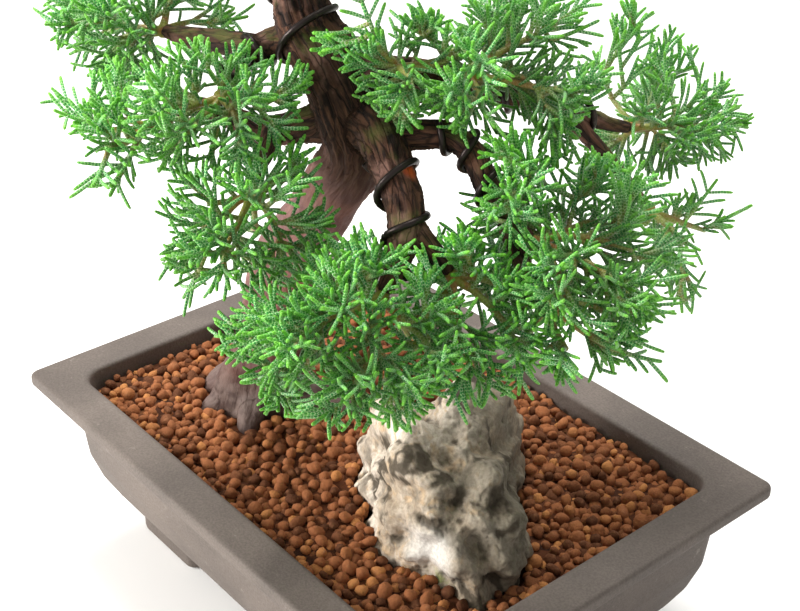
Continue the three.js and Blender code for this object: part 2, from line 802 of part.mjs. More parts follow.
// Tries directions round a twig until a stem has room.
function growStemOn(growth, sides, along, outward, draw, pad, twig) {
  const first = draw() * 2 * Math.PI;
  for (let trial = 0; trial < SPRAY.trials; trial++) {
    const direction = turned(along, SPRAY.stemAngle, first + trial * SPRAY.stemTurn);
    direction.addScaledVector(outward, SPRAY.stemPull).normalize();
    const place = growth.sideFacing(sides, direction);
    if (!place) {
      continue;
    }
    const openFace = () => growth.bud(place);
    if (growStem(growth, growth.budPlace(place), openFace, direction, draw, pad, twig)) {
      return;
    }
  }
}

// The knob at the end of a branch that the twigs of a pad spring from.
function padHeart(growth, branch) {
  const end = vec(...branch[branch.length - 1].slice(0, 3));
  const before = vec(...branch[branch.length - 2].slice(0, 3));
  const ahead = end.clone().sub(before).normalize();
  const seat = growth.faces[0];
  const turn = new THREE.Quaternion().setFromUnitVectors(growth.normal(seat), ahead.clone().negate());
  const heart = end.clone().addScaledVector(ahead, growth.middle(seat).length() + GAP);
  for (const point of growth.points) {
    point.applyQuaternion(turn).add(heart);
  }
  seat.used = true;
  return heart;
}

function growTwig(growth, name, pad, target, draw) {
  const heart = pad.heart;
  const toward = target.clone().sub(heart).normalize();
  const face = growth.hubFacing(toward);
  if (!face) {
    return false;
  }
  const root = growth.middle(face);
  const rise = target.distanceTo(root) * SPRAY.twigLift;
  const lift = root.clone().addScaledVector(growth.normal(face), rise);
  const curve = new THREE.QuadraticBezierCurve3(root, lift, target);
  const count = Math.max(2, Math.round(curve.getLength() / SPRAY.twigStep));
  const path = [];
  for (let k = 1; k <= count; k++) {
    path.push(curve.getPoint(k / count));
  }
  const first = root.clone().lerp(path[0], SPRAY.bareStart);
  const isOwn = (other) => other === name || other.startsWith(`${name}.`);
  const isHub = (other) => other === name;
  if (!isFree(first, path[0], SPRAY.twigRadius, isOwn)
    || !path.slice(1).every((point, k) => isFree(path[k], point, SPRAY.twigRadius, isHub))) {
    return false;
  }
  const radii = path.map((_, k) => SPRAY.twigRadius - SPRAY.twigTaper * k / count);
  const lengths = growth.draw(face, path, radii);
  const last = growth.faces[growth.faces.length - 1];
  const twig = `${name}.${taken.length}`;
  path.forEach((point, k) => take(k ? path[k - 1] : root, point, SPRAY.twigRadius, twig));
  const centre = vec(...pad.centre);
  for (let k = 1; k < count; k++) {
    const along = path[k].clone().sub(path[k - 1]).normalize();
    const outward = path[k].clone().sub(centre);
    outward.z *= pad.reach / pad.rise;
    growStemOn(growth, lengths[k], along, outward.normalize(), draw, name, twig);
  }
  const onward = path[count - 1].clone().sub(path[count - 2]).normalize();
  growStem(growth, growth.middle(last), () => last, onward, draw, name, twig);
  return true;
}

// A pad of foliage: twigs that fan out from the end of a branch, with stems all along them.
function foliageGeometry(name, pad, seed) {
  const draw = seeded(seed);
  const hub = new THREE.IcosahedronGeometry(SPRAY.hub, 0);
  hub.deleteAttribute('normal');
  hub.deleteAttribute('uv');
  const growth = new Growth(hub);
  const heart = padHeart(growth, BRANCHES[pad.limb ?? name]);
  take(heart, heart.clone().addScaledVector(UP, 0.1), SPRAY.hub, name);
  const first = draw() * 2 * Math.PI;
  for (let i = 0; i < pad.twigs; i++) {
    for (let trial = 0; trial < SPRAY.trials; trial++) {
      const slot = first + 2 * Math.PI * (i + spread(draw, 0.2)) / pad.twigs;
      const angle = trial < SPRAY.orderlyTrials ? slot : slot + spread(draw, Math.PI);
      const far = SPRAY.twigReach + spread(draw, 0.1);
      const target = vec(
        pad.centre[0] + pad.reach * far * Math.cos(angle),
        pad.centre[1] + pad.reach * far * Math.sin(angle),
        pad.centre[2] + pad.rise * spread(draw, 0.45),
      );
      if (growTwig(growth, name, { ...pad, heart }, target, draw)) {
        break;
      }
    }
  }
  return growth.geometry();
}

const group = new THREE.Group();

function addPart(name, geometry, colour, roughness, metalness = 0) {
  const material = new THREE.MeshStandardMaterial({ color: colour, roughness, metalness });
  const mesh = new THREE.Mesh(geometry, material);
  mesh.name = name;
  group.add(mesh);
  return mesh;
}

addPart('pot', potGeometry(), COLOURS.clay, 0.8);
addPart('drain_mesh_left', screenGeometry(-1), COLOURS.plastic, 0.6);
addPart('drain_mesh_right', screenGeometry(1), COLOURS.plastic, 0.6);
addPart('soil', soilGeometry(), COLOURS.soil, 0.95);
addPart('rock', fromSolid(rockSolid()), COLOURS.stone, 0.9);
addPart('wood', woodGeometry(), COLOURS.bark, 0.85);
for (const [name, wire] of Object.entries(WIRES)) {
  addPart(`wire_${name}`, tube(wirePath(wire), WIRE.sides), COLOURS.wire, 0.45, 0.6);
}

for (const name of ['trunk', ...Object.keys(BRANCHES)]) {
  takePath(smooth(limbPath(name)), 'wood');
}
for (const [name, wire] of Object.entries(WIRES)) {
  takePath(wirePath(wire), `wire_${name}`);
}
Object.entries(PADS).forEach(([name, pad], i) => {
  addPart(`foliage_${name}`, foliageGeometry(name, pad, PAD_SEED + i), COLOURS.foliage, 0.75);
});

// The origin is under the middle of everything, at the height of the ground.
const box = new THREE.Box3().setFromObject(group);
const middle = box.getCenter(vec(0, 0, 0));
for (const mesh of group.children) {
  mesh.position.set(-middle.x, -middle.y, -box.min.z);
}

export default group;
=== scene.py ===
import itertools
import math
import random

import bmesh
import bpy
import numpy as np
from mathutils import Matrix, Vector, noise


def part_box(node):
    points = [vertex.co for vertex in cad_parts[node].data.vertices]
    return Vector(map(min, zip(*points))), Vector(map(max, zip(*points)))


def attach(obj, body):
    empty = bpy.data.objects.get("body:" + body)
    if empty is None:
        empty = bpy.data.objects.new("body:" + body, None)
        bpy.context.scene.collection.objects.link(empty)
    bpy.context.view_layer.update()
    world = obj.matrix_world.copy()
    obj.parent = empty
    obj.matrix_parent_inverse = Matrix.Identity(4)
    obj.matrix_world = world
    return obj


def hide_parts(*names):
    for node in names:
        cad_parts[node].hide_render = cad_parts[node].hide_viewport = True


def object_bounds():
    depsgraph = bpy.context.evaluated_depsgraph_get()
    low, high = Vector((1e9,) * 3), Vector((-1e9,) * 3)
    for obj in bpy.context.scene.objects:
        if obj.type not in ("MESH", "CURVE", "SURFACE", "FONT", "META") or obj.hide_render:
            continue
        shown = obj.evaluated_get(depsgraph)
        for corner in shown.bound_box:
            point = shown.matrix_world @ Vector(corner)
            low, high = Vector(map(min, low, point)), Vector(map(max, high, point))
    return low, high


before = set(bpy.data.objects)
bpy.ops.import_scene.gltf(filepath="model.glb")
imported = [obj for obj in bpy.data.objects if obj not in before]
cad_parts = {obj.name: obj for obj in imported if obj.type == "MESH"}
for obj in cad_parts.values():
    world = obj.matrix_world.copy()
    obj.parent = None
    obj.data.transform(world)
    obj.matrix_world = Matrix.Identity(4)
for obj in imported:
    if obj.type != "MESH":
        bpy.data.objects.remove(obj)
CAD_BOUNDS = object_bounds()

# The bonsai as the photograph shows it. All the sizes below are in millimetres, measured from the
# middle of the pot and from the ground, as in the part's source, and are turned into metres in the
# frame's own place at the end.

POT_LOW, POT_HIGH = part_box("pot")
ORIGIN = np.array([(POT_LOW.x + POT_HIGH.x) / 2, (POT_LOW.y + POT_HIGH.y) / 2, 0.0])
MM = 0.001

# The clearance between solids, and the pot: its rim's half size, and its profile, up the outside
# and down the inside, as rows of height, inset from the rim and corner radius.
GAP = 0.35
POT_HALF = (130.0, 93.0)
POT_PROFILE = [
    (10, 33, 7), (12.5, 29.5, 9), (22, 22, 11), (32, 17, 11), (43, 14, 10), (74.5, 12, 9),
    (76, 1, 4), (77, 0, 4), (81, 0, 4), (82, 1.2, 4), (82, 15.8, 9), (81, 17.2, 9),
    (72, 18, 9), (42, 20, 9), (25, 27, 9), (18, 35, 8),
]
DRAIN_RADIUS = 9.0
DRAIN_OFFSET = 48.0
FLOOR_TOP = 18.0
FOOT = {"long": 45, "short": 33, "thick": 13, "height": 14, "inset": 30.5, "bevel": 2,
        "corner": 5, "nose": 1.5, "toe": 4, "heel": 2}
SOIL_TOP = 73.5
ROCK = {"centre": (54.5, -11, 80), "half": (50, 31, 40), "turn": 2.62, "lean": -0.1,
        "narrow": 0.36, "bottom": 69}
WIRE_RADIUS = 1.2
WIRE_STEPS = 9
WIRE_GAP = 0.45
# How deep the trunk is fluted, as a share of its radius, and the steps between a limb's points.
FLUTE = 0.05
SMOOTHNESS = 4

# The middle line of each limb: x, y, z and the radius. A branch has its pad's name.
TRUNK = [
    (-60, -18, 56, 19), (-60, -18, 72, 21), (-56, -17, 90, 17.5), (-45, -19, 115, 14.5),
    (-22, -28, 159, 12.8), (6, -34, 190, 11.8), (19, -35, 208, 11.2), (31, -33, 225, 11.6),
    (27, -34, 239, 12), (20, -36, 252, 11.2), (11, -38, 263, 9.8), (3, -36, 276, 8),
    (-5, -31, 292, 6), (-8, -25, 308, 4.2), (-5, -21, 320, 2.8),
]
ROOTS = [
    [(-63, -18, 85, 10), (-73, -24, 79, 8), (-79, -28, 74, 6), (-85, -31, 64, 3.5)],
    [(-54, -20, 85, 9), (-48, -30, 78, 7), (-44, -36, 73, 5), (-39, -42, 64, 3)],
    [(-53, -14, 85, 9), (-38, -3, 78, 7), (-26, 5, 73, 5), (-14, 13, 64, 3)],
    [(-61, -12, 85, 9), (-67, 5, 78, 7), (-72, 18, 73, 5), (-78, 29, 64, 3)],
    [(-63, -24, 83, 8), (-65, -33, 77, 6), (-68, -39, 72, 4.5), (-72, -45, 64, 3)],
]
BRANCHES = {
    "front": [(31, -33, 236, 9), (47, -37, 237, 7.6), (58, -42, 233, 7), (67, -45, 226, 6.4),
              (74, -49, 218, 5.4), (77, -56, 208, 3.8), (78, -61, 202, 2.6)],
    "front_right": [(73, -47, 220, 4.2), (82, -44, 212, 3.4), (87, -42, 206, 2.4)],
    "right": [(47, -37, 238, 6.5), (56, -30, 239, 5), (64, -22, 239, 4.6), (72, -19, 234, 4.4),
              (80, -20, 226, 4), (89, -18, 217, 3.2), (95, -15, 212, 2.4)],
    "right_low": [(86, -19, 220, 3.4), (99, -22, 207, 2.8), (108, -20, 199, 2.2)],
    "top_right": [(22, -35, 248, 8), (36, -27, 254, 5.2), (47, -18, 254, 4.2), (55, -11, 254, 2.6)],
    "top_front": [(33, -29, 253, 4.2), (41, -32, 257, 3.2), (46, -31, 259, 2.2)],
    "far_left": [(24, -36, 236, 8), (9, -45, 230, 5.4), (0, -52, 228, 4.8), (-8, -58, 232, 4.2),
                 (-13, -68, 237, 3.4), (-13, -79, 238, 2.8), (-11, -87, 236, 2.2)],
    "left_low": [(4, -48, 229, 4.6), (15, -62, 225, 3.2), (24, -72, 221, 2.2)],
    "left": [(12, -38, 258, 8), (2, -45, 258, 5.4), (-3, -54, 254, 4.2), (2, -63, 250, 3.2),
             (7, -70, 248, 2.2)],
    "back_left": [(-1, -49, 256, 5), (-16, -55, 256, 4.2), (-30, -60, 255, 3.4), (-41, -61, 254, 2.4)],
    "back_right": [(23, -31, 245, 8), (33, -8, 242, 5), (45, 18, 237, 4.2), (54, 43, 228, 3.4),
                   (58, 60, 219, 2.8), (59, 70, 215, 2.2)],
    "back_right_low": [(53, 40, 229, 3.2), (67, 54, 208, 2.6), (77, 63, 192, 2)],
    "back": [(3, -36, 272, 6.5), (-9, -18, 275, 4.6), (-22, 2, 275, 3.8), (-33, 20, 271, 2.4)],
    "back_top": [(-3, -33, 286, 5), (7, -14, 290, 3.8), (19, 10, 289, 3.2), (28, 28, 286, 2.2)],
    "crown_left": [(-7, -27, 302, 3.8), (-16, -31, 304, 3), (-23, -33, 303, 2.2)],
    "crown_right": [(-6, -29, 298, 4), (6, -32, 304, 3), (15, -31, 306, 2.2)],
    "crown": [(-8, -24, 310, 3.6), (-4, -20, 322, 2.6), (-3, -19, 325, 2.2)],
}
LIMBS = {"trunk": TRUNK, **BRANCHES}
# For the limb that each wire goes round: the part of its length, the turns and the first angle.
WIRES = {
    "trunk": (0.66, 0.9, 3, 1),
    "front": (0.26, 0.86, 2.5, 2.2),
    "right": (0.27, 0.82, 3, 0.4),
    "left": (0.3, 0.85, 2.5, 3),
    "back_right": (0.22, 0.72, 3.5, 0),
}
# The middle, level radius, half height and number of twigs of each pad of foliage.
PADS = {
    "front": ((78, -73, 193), 36, 26, 6),
    "front_right": ((97, -40, 192), 27, 24, 6),
    "right": ((108, -7, 213), 36, 26, 6),
    "right_low": ((117, -19, 193), 23, 15, 5),
    "top_right": ((68, -2, 259), 32, 22, 5),
    "top_front": ((53, -29, 262), 21, 15, 4),
    "left": ((13, -79, 249), 27, 19, 5),
    "left_low": ((32, -81, 214), 27, 27, 6),
    "far_left": ((-9, -97, 233), 23, 16, 4),
    "back_right": ((60, 88, 214), 31, 20, 5),
    "back_right_low": ((86, 71, 181), 20, 15, 4),
    "back_left": ((-58, -62, 255), 33, 21, 5),
    "back": ((-45, 38, 273), 33, 21, 5),
    "back_top": ((37, 44, 288), 30, 19, 5),
    "crown_left": ((-33, -33, 305), 25, 17, 5),
    "crown_right": ((27, -29, 309), 25, 17, 5),
    "crown": ((-2, -17, 333), 27, 19, 6),
}
# The rule that pads grow by, as in the part's source: the seed, the trials, the shares of a
# length, the angles in radians, the lengths and radii in millimetres, and how far each is varied.
PAD_SEED = 124
HUB = 2.3
TRIALS = 6
ORDERLY_TRIALS = 2
TWIG_REACH = 0.56
TWIG_LIFT = 0.35
TWIG_TAPER = 0.3
BUD_LENGTH = 1.9
CORD_ANGLE = 0.85
STEM_ANGLE = 1.0
STEM_TURN = 2.4
STEM_PULL = 0.6
BARE_START = 0.35
TWIG_RADIUS = 1.15
STEM_RADIUS = 1.0
CORD_RADIUS = 0.95
TWIG_STEP = 6.6
STEM_STEP = 4.6
STEM_LENGTH = 17.5
CORD_LENGTH = 8.6
CLEARANCE = 0.45
CORD_WOBBLE = 0.15
STEM_ROLL = 0.9
SLOT_WOBBLE = 0.2
REACH_WOBBLE = 0.1
TARGET_HEIGHTS = 0.45
CURVE_MARKS = 200


# Small vector helpers on plain tuples, in double precision.

def add(a, b):
    return (a[0] + b[0], a[1] + b[1], a[2] + b[2])


def sub(a, b):
    return (a[0] - b[0], a[1] - b[1], a[2] - b[2])


def mul(a, s):
    return (a[0] * s, a[1] * s, a[2] * s)


def move(a, b, s):
    return (a[0] + b[0] * s, a[1] + b[1] * s, a[2] + b[2] * s)


def dot(a, b):
    return a[0] * b[0] + a[1] * b[1] + a[2] * b[2]


def cross(a, b):
    return (a[1] * b[2] - a[2] * b[1], a[2] * b[0] - a[0] * b[2], a[0] * b[1] - a[1] * b[0])


def size(a):
    return math.sqrt(dot(a, a))


def unit(a):
    return mul(a, 1 / (size(a) or 1))


def mix(a, b, t):
    return (a[0] + (b[0] - a[0]) * t, a[1] + (b[1] - a[1]) * t, a[2] + (b[2] - a[2]) * t)


def on_bend(curve, t):
    """A point on the bend that three points give: its start, the point it leans to and its end."""
    k = 1 - t
    return tuple(k * k * a + 2 * k * t * b + t * t * c for a, b, c in zip(*curve))


def line_length(points):
    return sum(size(sub(b, a)) for a, b in zip(points, points[1:]))


def centroid(face):
    return mul(add(add(face[0], face[1]), face[2]), 1 / 3)


UP = (0.0, 0.0, 1.0)


def seeded(seed):
    """A seeded stream of numbers from 0 to 1, the same as in the part's source."""
    state = [seed & 0xFFFFFFFF]

    def draw():
        state[0] = (state[0] + 0x6D2B79F5) & 0xFFFFFFFF
        t = state[0]
        t = ((t ^ (t >> 15)) * (t | 1)) & 0xFFFFFFFF
        t ^= (t + (((t ^ (t >> 7)) * (t | 61)) & 0xFFFFFFFF)) & 0xFFFFFFFF
        return ((t ^ (t >> 14)) & 0xFFFFFFFF) / 4294967296

    return draw


def spread(draw, amount):
    return (draw() - 0.5) * 2 * amount


def varied(draw, length):
    """A length made up to a fifth shorter or longer."""
    return length * (0.8 + 0.4 * draw())


def smooth(knots):
    """Points (x, y, z, radius) on a smooth curve through the given ones."""
    out = []
    for around in zip([knots[0], *knots], knots, knots[1:], [*knots[2:], knots[-1]]):
        for step in range(SMOOTHNESS):
            t = step / SMOOTHNESS
            out.append(tuple(
                0.5 * (2 * b + (c - a) * t + (2 * a - 5 * b + 4 * c - d) * t * t
                       + (3 * b - a - 3 * c + d) * t * t * t)
                for a, b, c, d in zip(*around)))
    return out + [knots[-1]]


def framed(path):
    """Each point of the path with the directions aside and over there, without a twist, and the
    radius."""
    side = None
    out = []
    for before, point, after in zip([path[0], *path], path, [*path[1:], path[-1]]):
        along = unit(sub(after, before))
        start = side or ((1.0, 0.0, 0.0) if abs(along[2]) > 0.8 else UP)
        side = unit(move(start, along, -dot(start, along)))
        out.append((point[:3], side, cross(along, side), point[3]))
    return out


def wire_path(name, steps_a_turn=WIRE_STEPS, off=None):
    """The wire's line as its solid has it, or at a distance off its limb's surface."""
    start, end, turns, first = WIRES[name]
    frames = framed(smooth(LIMBS[name]))
    flute = 1 + 1.6 * FLUTE if name == "trunk" else 1
    steps = int(math.floor(turns * steps_a_turn + 0.5))
    path = []
    for i in range(steps + 1):
        place = (start + (end - start) * i / steps) * (len(frames) - 1)
        low = int(math.floor(place))
        high = min(low + 1, len(frames) - 1)
        part = place - low
        point, side, over = (mix(frames[low][k], frames[high][k], part) for k in range(3))
        thick = frames[low][3] + (frames[high][3] - frames[low][3]) * part
        angle = first + 2 * math.pi * turns * i / steps
        if off is None:
            away = (thick * flute + WIRE_RADIUS + WIRE_GAP) / math.cos(math.pi / WIRE_STEPS)
        else:
            away = thick * flute + WIRE_RADIUS + off
        point = move(point, unit(side), away * math.cos(angle))
        path.append((*move(point, unit(over), away * math.sin(angle)), WIRE_RADIUS))
    return path


# The rule that the pads of foliage grow by, as in the part's source.

class Room:
    """What already takes up room: segments with a radius and the name of what each is."""

    def __init__(self, most=6000):
        self.count = 0
        self.middle = np.zeros((most, 3))
        self.reach = np.zeros(most)
        self.items = []

    def take(self, a, b, radius, name):
        self.middle[self.count] = mul(add(a, b), 0.5)
        self.reach[self.count] = size(sub(a, b)) / 2 + radius
        self.items.append((a, b, radius, name))
        self.count += 1

    def is_free(self, a, b, radius, is_kin):
        """Whether a segment keeps clear of all that isn't its kin."""
        half = size(sub(a, b)) / 2 + radius + CLEARANCE
        away = self.middle[:self.count] - np.array(mul(add(a, b), 0.5))
        close = np.einsum("ij,ij->i", away, away) <= (self.reach[:self.count] + half) ** 2
        for i in np.nonzero(close)[0]:
            c, d, other, name = self.items[i]
            if not is_kin(name) and segment_distance(a, b, c, d) < radius + other + CLEARANCE:
                return False
        return True


def segment_distance(a, b, c, d):
    """The least distance between the segments a to b and c to d."""
    u, v, w = sub(b, a), sub(d, c), sub(a, c)
    uu, uv, vv, uw, vw = dot(u, u), dot(u, v), dot(v, v), dot(u, w), dot(v, w)
    wide = uu * vv - uv * uv
    s = min(max((uv * vw - vv * uw) / wide, 0), 1) if wide > 1e-9 else 0
    t = min(max((uv * s + vw) / vv, 0), 1)
    s = min(max((uv * t - uw) / uu, 0), 1)
    return size(move(move(w, u, s), v, -t))


def hub_faces():
    """The faces of the knob that a pad's twigs spring from, as triangles of points."""
    t = (1 + math.sqrt(5)) / 2
    corners = [(-1, t, 0), (1, t, 0), (-1, -t, 0), (1, -t, 0), (0, -1, t), (0, 1, t),
               (0, -1, -t), (0, 1, -t), (t, 0, -1), (t, 0, 1), (-t, 0, -1), (-t, 0, 1)]
    faces = [(0, 11, 5), (0, 5, 1), (0, 1, 7), (0, 7, 10), (0, 10, 11), (1, 5, 9), (5, 11, 4),
             (11, 10, 2), (10, 7, 6), (7, 1, 8), (3, 9, 4), (3, 4, 2), (3, 2, 6), (3, 6, 8),
             (3, 8, 9), (4, 9, 5), (2, 4, 11), (6, 2, 10), (8, 6, 7), (9, 8, 1)]
    rounded = [tuple(float(v) for v in np.float32(mul(unit(c), HUB))) for c in corners]
    return [[rounded[b], rounded[c], rounded[a]] for a, b, c in faces]


def face_normal(face):
    return unit(cross(sub(face[1], face[0]), sub(face[2], face[0])))


def draw_out(face, path, radii):
    """The sides of each length that a face is drawn out to along a path, and the last ring."""
    ring = list(face)
    middle = centroid(face)
    spoke = sub(face[0], middle)
    lengths = []
    for i, point in enumerate(path):
        before = path[i - 1] if i else middle
        after = path[min(i + 1, len(path) - 1)]
        along = unit(sub(after, before))
        spoke = unit(move(spoke, along, -dot(spoke, along)))
        across = cross(along, spoke)
        ahead = []
        for k in range(3):
            angle = 2 * math.pi * k / 3
            out = move(mul(spoke, math.cos(angle)), across, math.sin(angle))
            ahead.append(move(point, out, radii[i]))
        sides = []
        for k in range(3):
            m = (k + 1) % 3
            sides.append({"corners": (ring[k], ring[m], ahead[m], ahead[k]), "used": False})
        lengths.append(sides)
        ring = ahead
    return lengths, ring


def side_facing(sides, direction, least=0.35):
    """The free side that faces a direction best, if any faces it well enough."""
    best, most = None, least
    for side in sides:
        match = -1 if side["used"] else dot(face_normal(side["corners"][:3]), direction)
        if match > most:
            best, most = side, match
    return best


def bud_frame(side):
    """The middles of a side's near and far edges, and how far back from the far one a bud starts."""
    a, b, c, d = side["corners"]
    near = mul(add(a, b), 0.5)
    far = mul(add(c, d), 0.5)
    return near, far, min(0.8, BUD_LENGTH / size(sub(near, far)))


def bud_place(side):
    near, far, back = bud_frame(side)
    return mix(far, near, back / 3)


def bud(side):
    """Uses up a side and gives the face at its far edge that a stem or cord springs from."""
    side["used"] = True
    near, far, back = bud_frame(side)
    return [side["corners"][2], side["corners"][3], mix(far, near, back)]


def turned(along, angle, around):
    """A direction at an angle to the one given, turned round it."""
    across = unit(cross(along, (1.0, 0.0, 0.0) if abs(along[2]) > 0.9 else UP))
    over = cross(across, along)
    out = mul(along, math.cos(angle))
    out = move(out, across, math.sin(angle) * math.cos(around))
    return move(out, over, math.sin(angle) * math.sin(around))


class Pad:
    """One pad of foliage: its twigs, stems and cords as lines."""

    def __init__(self, name):
        self.name = name
        self.centre, self.reach, self.rise, self.twig_count = PADS[name]
        self.twigs = []
        self.stems = []
        self.cords = []


def grow_cords(pad, room, lengths, direction, side, draw, stem):
    """A pair of cords, one to each side, on every length of a stem that has the room."""
    for sides in lengths:
        for sign in (1, -1):
            angle = CORD_ANGLE + spread(draw, CORD_WOBBLE)
            length = varied(draw, CORD_LENGTH)
            out = move(mul(direction, math.cos(angle)), side, sign * math.sin(angle))
            place = side_facing(sides, out)
            if not place:
                continue
            root = bud_place(place)
            tip = move(root, out, length)
            if room.is_free(root, tip, CORD_RADIUS, lambda name: name == stem):
                place["used"] = True
                pad.cords.append((root, tip, direction))
                room.take(root, tip, CORD_RADIUS, stem)


def grow_stem(pad, room, root, open_face, direction, draw, twig):
    """Grows a bent stem with its cords from a face, if the way is free."""
    length = varied(draw, STEM_LENGTH)
    roll = spread(draw, STEM_ROLL)
    level = turned(direction, math.pi / 2, math.pi / 2)
    flat = turned(direction, math.pi / 2, 0)
    side = move(mul(flat, math.cos(roll)), level, math.sin(roll))
    bend = mul(UP, length * (0.04 + 0.1 * draw()))

    def at(t):
        return move(move(root, direction, length * t), bend, t * t)

    def is_base(name):
        return name == pad.name or name == twig

    if (not room.is_free(root, at(1), CORD_RADIUS, is_base)
            or not room.is_free(at(BARE_START), at(1), CORD_RADIUS, lambda name: False)):
        return False
    steps = max(2, int(math.floor(length / STEM_STEP + 0.5)))
    path = [at(i / steps) for i in range(1, steps)]
    lengths, _ = draw_out(open_face(), path, [STEM_RADIUS] * len(path))
    stem = f"{twig}/{room.count}"
    room.take(root, at(0.5), CORD_RADIUS, stem)
    room.take(at(0.5), at(1), CORD_RADIUS, stem)
    pad.stems.append([at(i / 7) for i in range(8)])
    grow_cords(pad, room, lengths, direction, side, draw, stem)
    return True


def grow_stem_on(pad, room, sides, along, outward, draw, twig):
    """Tries several directions for one stem on a length of a twig."""
    first = draw() * 2 * math.pi
    for trial in range(TRIALS):
        aslant = turned(along, STEM_ANGLE, first + trial * STEM_TURN)
        direction = unit(move(aslant, outward, STEM_PULL))
        place = side_facing(sides, direction)
        if place and grow_stem(pad, room, bud_place(place), lambda: bud(place), direction, draw, twig):
            return


def grow_twig(pad, room, hub, target, draw):
    """Grows a twig with its stems from the pad's knob to a target, if the way is free."""
    face = side_facing(hub, unit(sub(target, pad.heart)), 0.3)
    if not face:
        return False
    root = centroid(face["corners"])
    rise = size(sub(target, root)) * TWIG_LIFT
    curve = (root, move(root, face_normal(face["corners"]), rise), target)
    length = line_length([on_bend(curve, i / CURVE_MARKS) for i in range(CURVE_MARKS + 1)])
    count = max(2, int(math.floor(length / TWIG_STEP + 0.5)))
    path = [on_bend(curve, k / count) for k in range(1, count + 1)]
    first = mix(root, path[0], BARE_START)
    prefix = pad.name + "."
    if not room.is_free(first, path[0], TWIG_RADIUS,
                        lambda name: name == pad.name or name.startswith(prefix)):
        return False
    for k in range(count - 1):
        if not room.is_free(path[k], path[k + 1], TWIG_RADIUS, lambda name: name == pad.name):
            return False
    radii = [TWIG_RADIUS - TWIG_TAPER * k / count for k in range(count)]
    face["used"] = True
    lengths, last = draw_out(face["corners"], path, radii)
    twig = f"{pad.name}.{room.count}"
    for k, point in enumerate(path):
        room.take(path[k - 1] if k else root, point, TWIG_RADIUS, twig)
    pad.twigs.append([pad.heart, root] + path)
    for k in range(1, count):
        along = unit(sub(path[k], path[k - 1]))
        outward = sub(path[k], pad.centre)
        outward = unit((outward[0], outward[1], outward[2] * pad.reach / pad.rise))
        grow_stem_on(pad, room, lengths[k], along, outward, draw, twig)
    onward = unit(sub(path[count - 1], path[count - 2]))
    grow_stem(pad, room, centroid(last), lambda: last, onward, draw, twig)
    return True


def turn_between(a, b):
    """The turn from one direction to another, as a function on points."""
    w = dot(a, b) + 1
    x, y, z = cross(a, b)
    scale = 1 / math.sqrt(x * x + y * y + z * z + w * w)
    q, w = (x * scale, y * scale, z * scale), w * scale

    def turn(p):
        t = mul(cross(q, p), 2)
        return add(move(p, t, w), cross(q, t))

    return turn


def grow_pad(name, seed, room):
    """Grows the pad's twigs round its knob, just past the end of its branch."""
    draw = seeded(seed)
    pad = Pad(name)
    branch = BRANCHES[name]
    end = branch[-1][:3]
    ahead = unit(sub(end, branch[-2][:3]))
    faces = hub_faces()
    turn = turn_between(face_normal(faces[0]), mul(ahead, -1))
    pad.heart = move(end, ahead, size(centroid(faces[0])) + GAP)
    hub = [{"corners": [add(turn(p), pad.heart) for p in face], "used": i == 0}
           for i, face in enumerate(faces)]
    room.take(pad.heart, move(pad.heart, UP, 0.1), HUB, name)
    first = draw() * 2 * math.pi
    for i in range(pad.twig_count):
        for trial in range(TRIALS):
            slot = first + 2 * math.pi * (i + spread(draw, SLOT_WOBBLE)) / pad.twig_count
            angle = slot if trial < ORDERLY_TRIALS else slot + spread(draw, math.pi)
            far = TWIG_REACH + spread(draw, REACH_WOBBLE)
            target = (
                pad.centre[0] + pad.reach * far * math.cos(angle),
                pad.centre[1] + pad.reach * far * math.sin(angle),
                pad.centre[2] + pad.rise * spread(draw, TARGET_HEIGHTS),
            )
            if grow_twig(pad, room, hub, target, draw):
                break
    return pad


room = Room()
lines = [("wood", smooth(limb)) for limb in LIMBS.values()]
lines += [("wire_" + wire, wire_path(wire)) for wire in WIRES]
for name, line in lines:
    for a, b in zip(line, line[1:]):
        room.take(a[:3], b[:3], max(a[3], b[3]), name)
pads = [grow_pad(name, PAD_SEED + i, room) for i, name in enumerate(PADS)]


# Filling the pads: the finer stems and cords between those of the rule.

# The edge of the cells of room that are taken or free.
CELL = 1.5
FILL_SEED = 500
# Stems for each square millimetre of a pad's level radius and for each lobe, and the tries at one.
STEMS_A_SQUARE = 0.064
STEMS_A_LOBE = 26
TRIES_A_STEM = 9
# The spacing of cords on stems and twigs, and the bare part at the start of each.
STEM_SPACING = 2.6
TWIG_SPACING = 3.4
STEM_BARE = 0.16
OWN_STEM_BARE = 0.1
TWIG_BARE = 0.3
# A cord's lean off its stem, its length at the stem's foot and the loss of length to the tip.
LEAN = (0.6, 0.92)
LONGEST = 14.4
LENGTH_LOSS = 5.6
LENGTH_SPREAD = (0.74, 1.2)
# The length from which a cord may fork, and how often it does.
FORK_LENGTH = 6.5
FORK_CHANCE = 0.45
# The length of the stems that fill a pad, and how strong they are on a stem, not a twig.
FILL_LENGTH = (13, 22)
SHORTEST_FILL = 7
SIDE_STRENGTH = 0.75
# How far past its egg shape a pad's cords and its stems may reach.
CORD_ROOM = 1.12
STEM_ROOM = 1.04
HIGH_PADS = ("back", "back_top", "back_left", "crown_left", "crown_right", "crown")
HIGH_PADS_SHARE = 1.45
# The pads that are thinner than the rest, and their share of stems.
THIN_PADS = {"left": 0.42, "left_low": 0.55, "far_left": 0.6, "back_right": 0.8,
             "back_right_low": 0.85, "top_front": 0.75}
# The lowest that cords hang, and the box that they stay in: its edge for their lines and skins.
LOWEST = 96.0
BOX_LOW = [v / MM - ORIGIN[k] / MM for k, v in enumerate(CAD_BOUNDS[0])]
BOX_HIGH = [v / MM - ORIGIN[k] / MM for k, v in enumerate(CAD_BOUNDS[1])]
EDGE = 1.2
INSET = 0.1
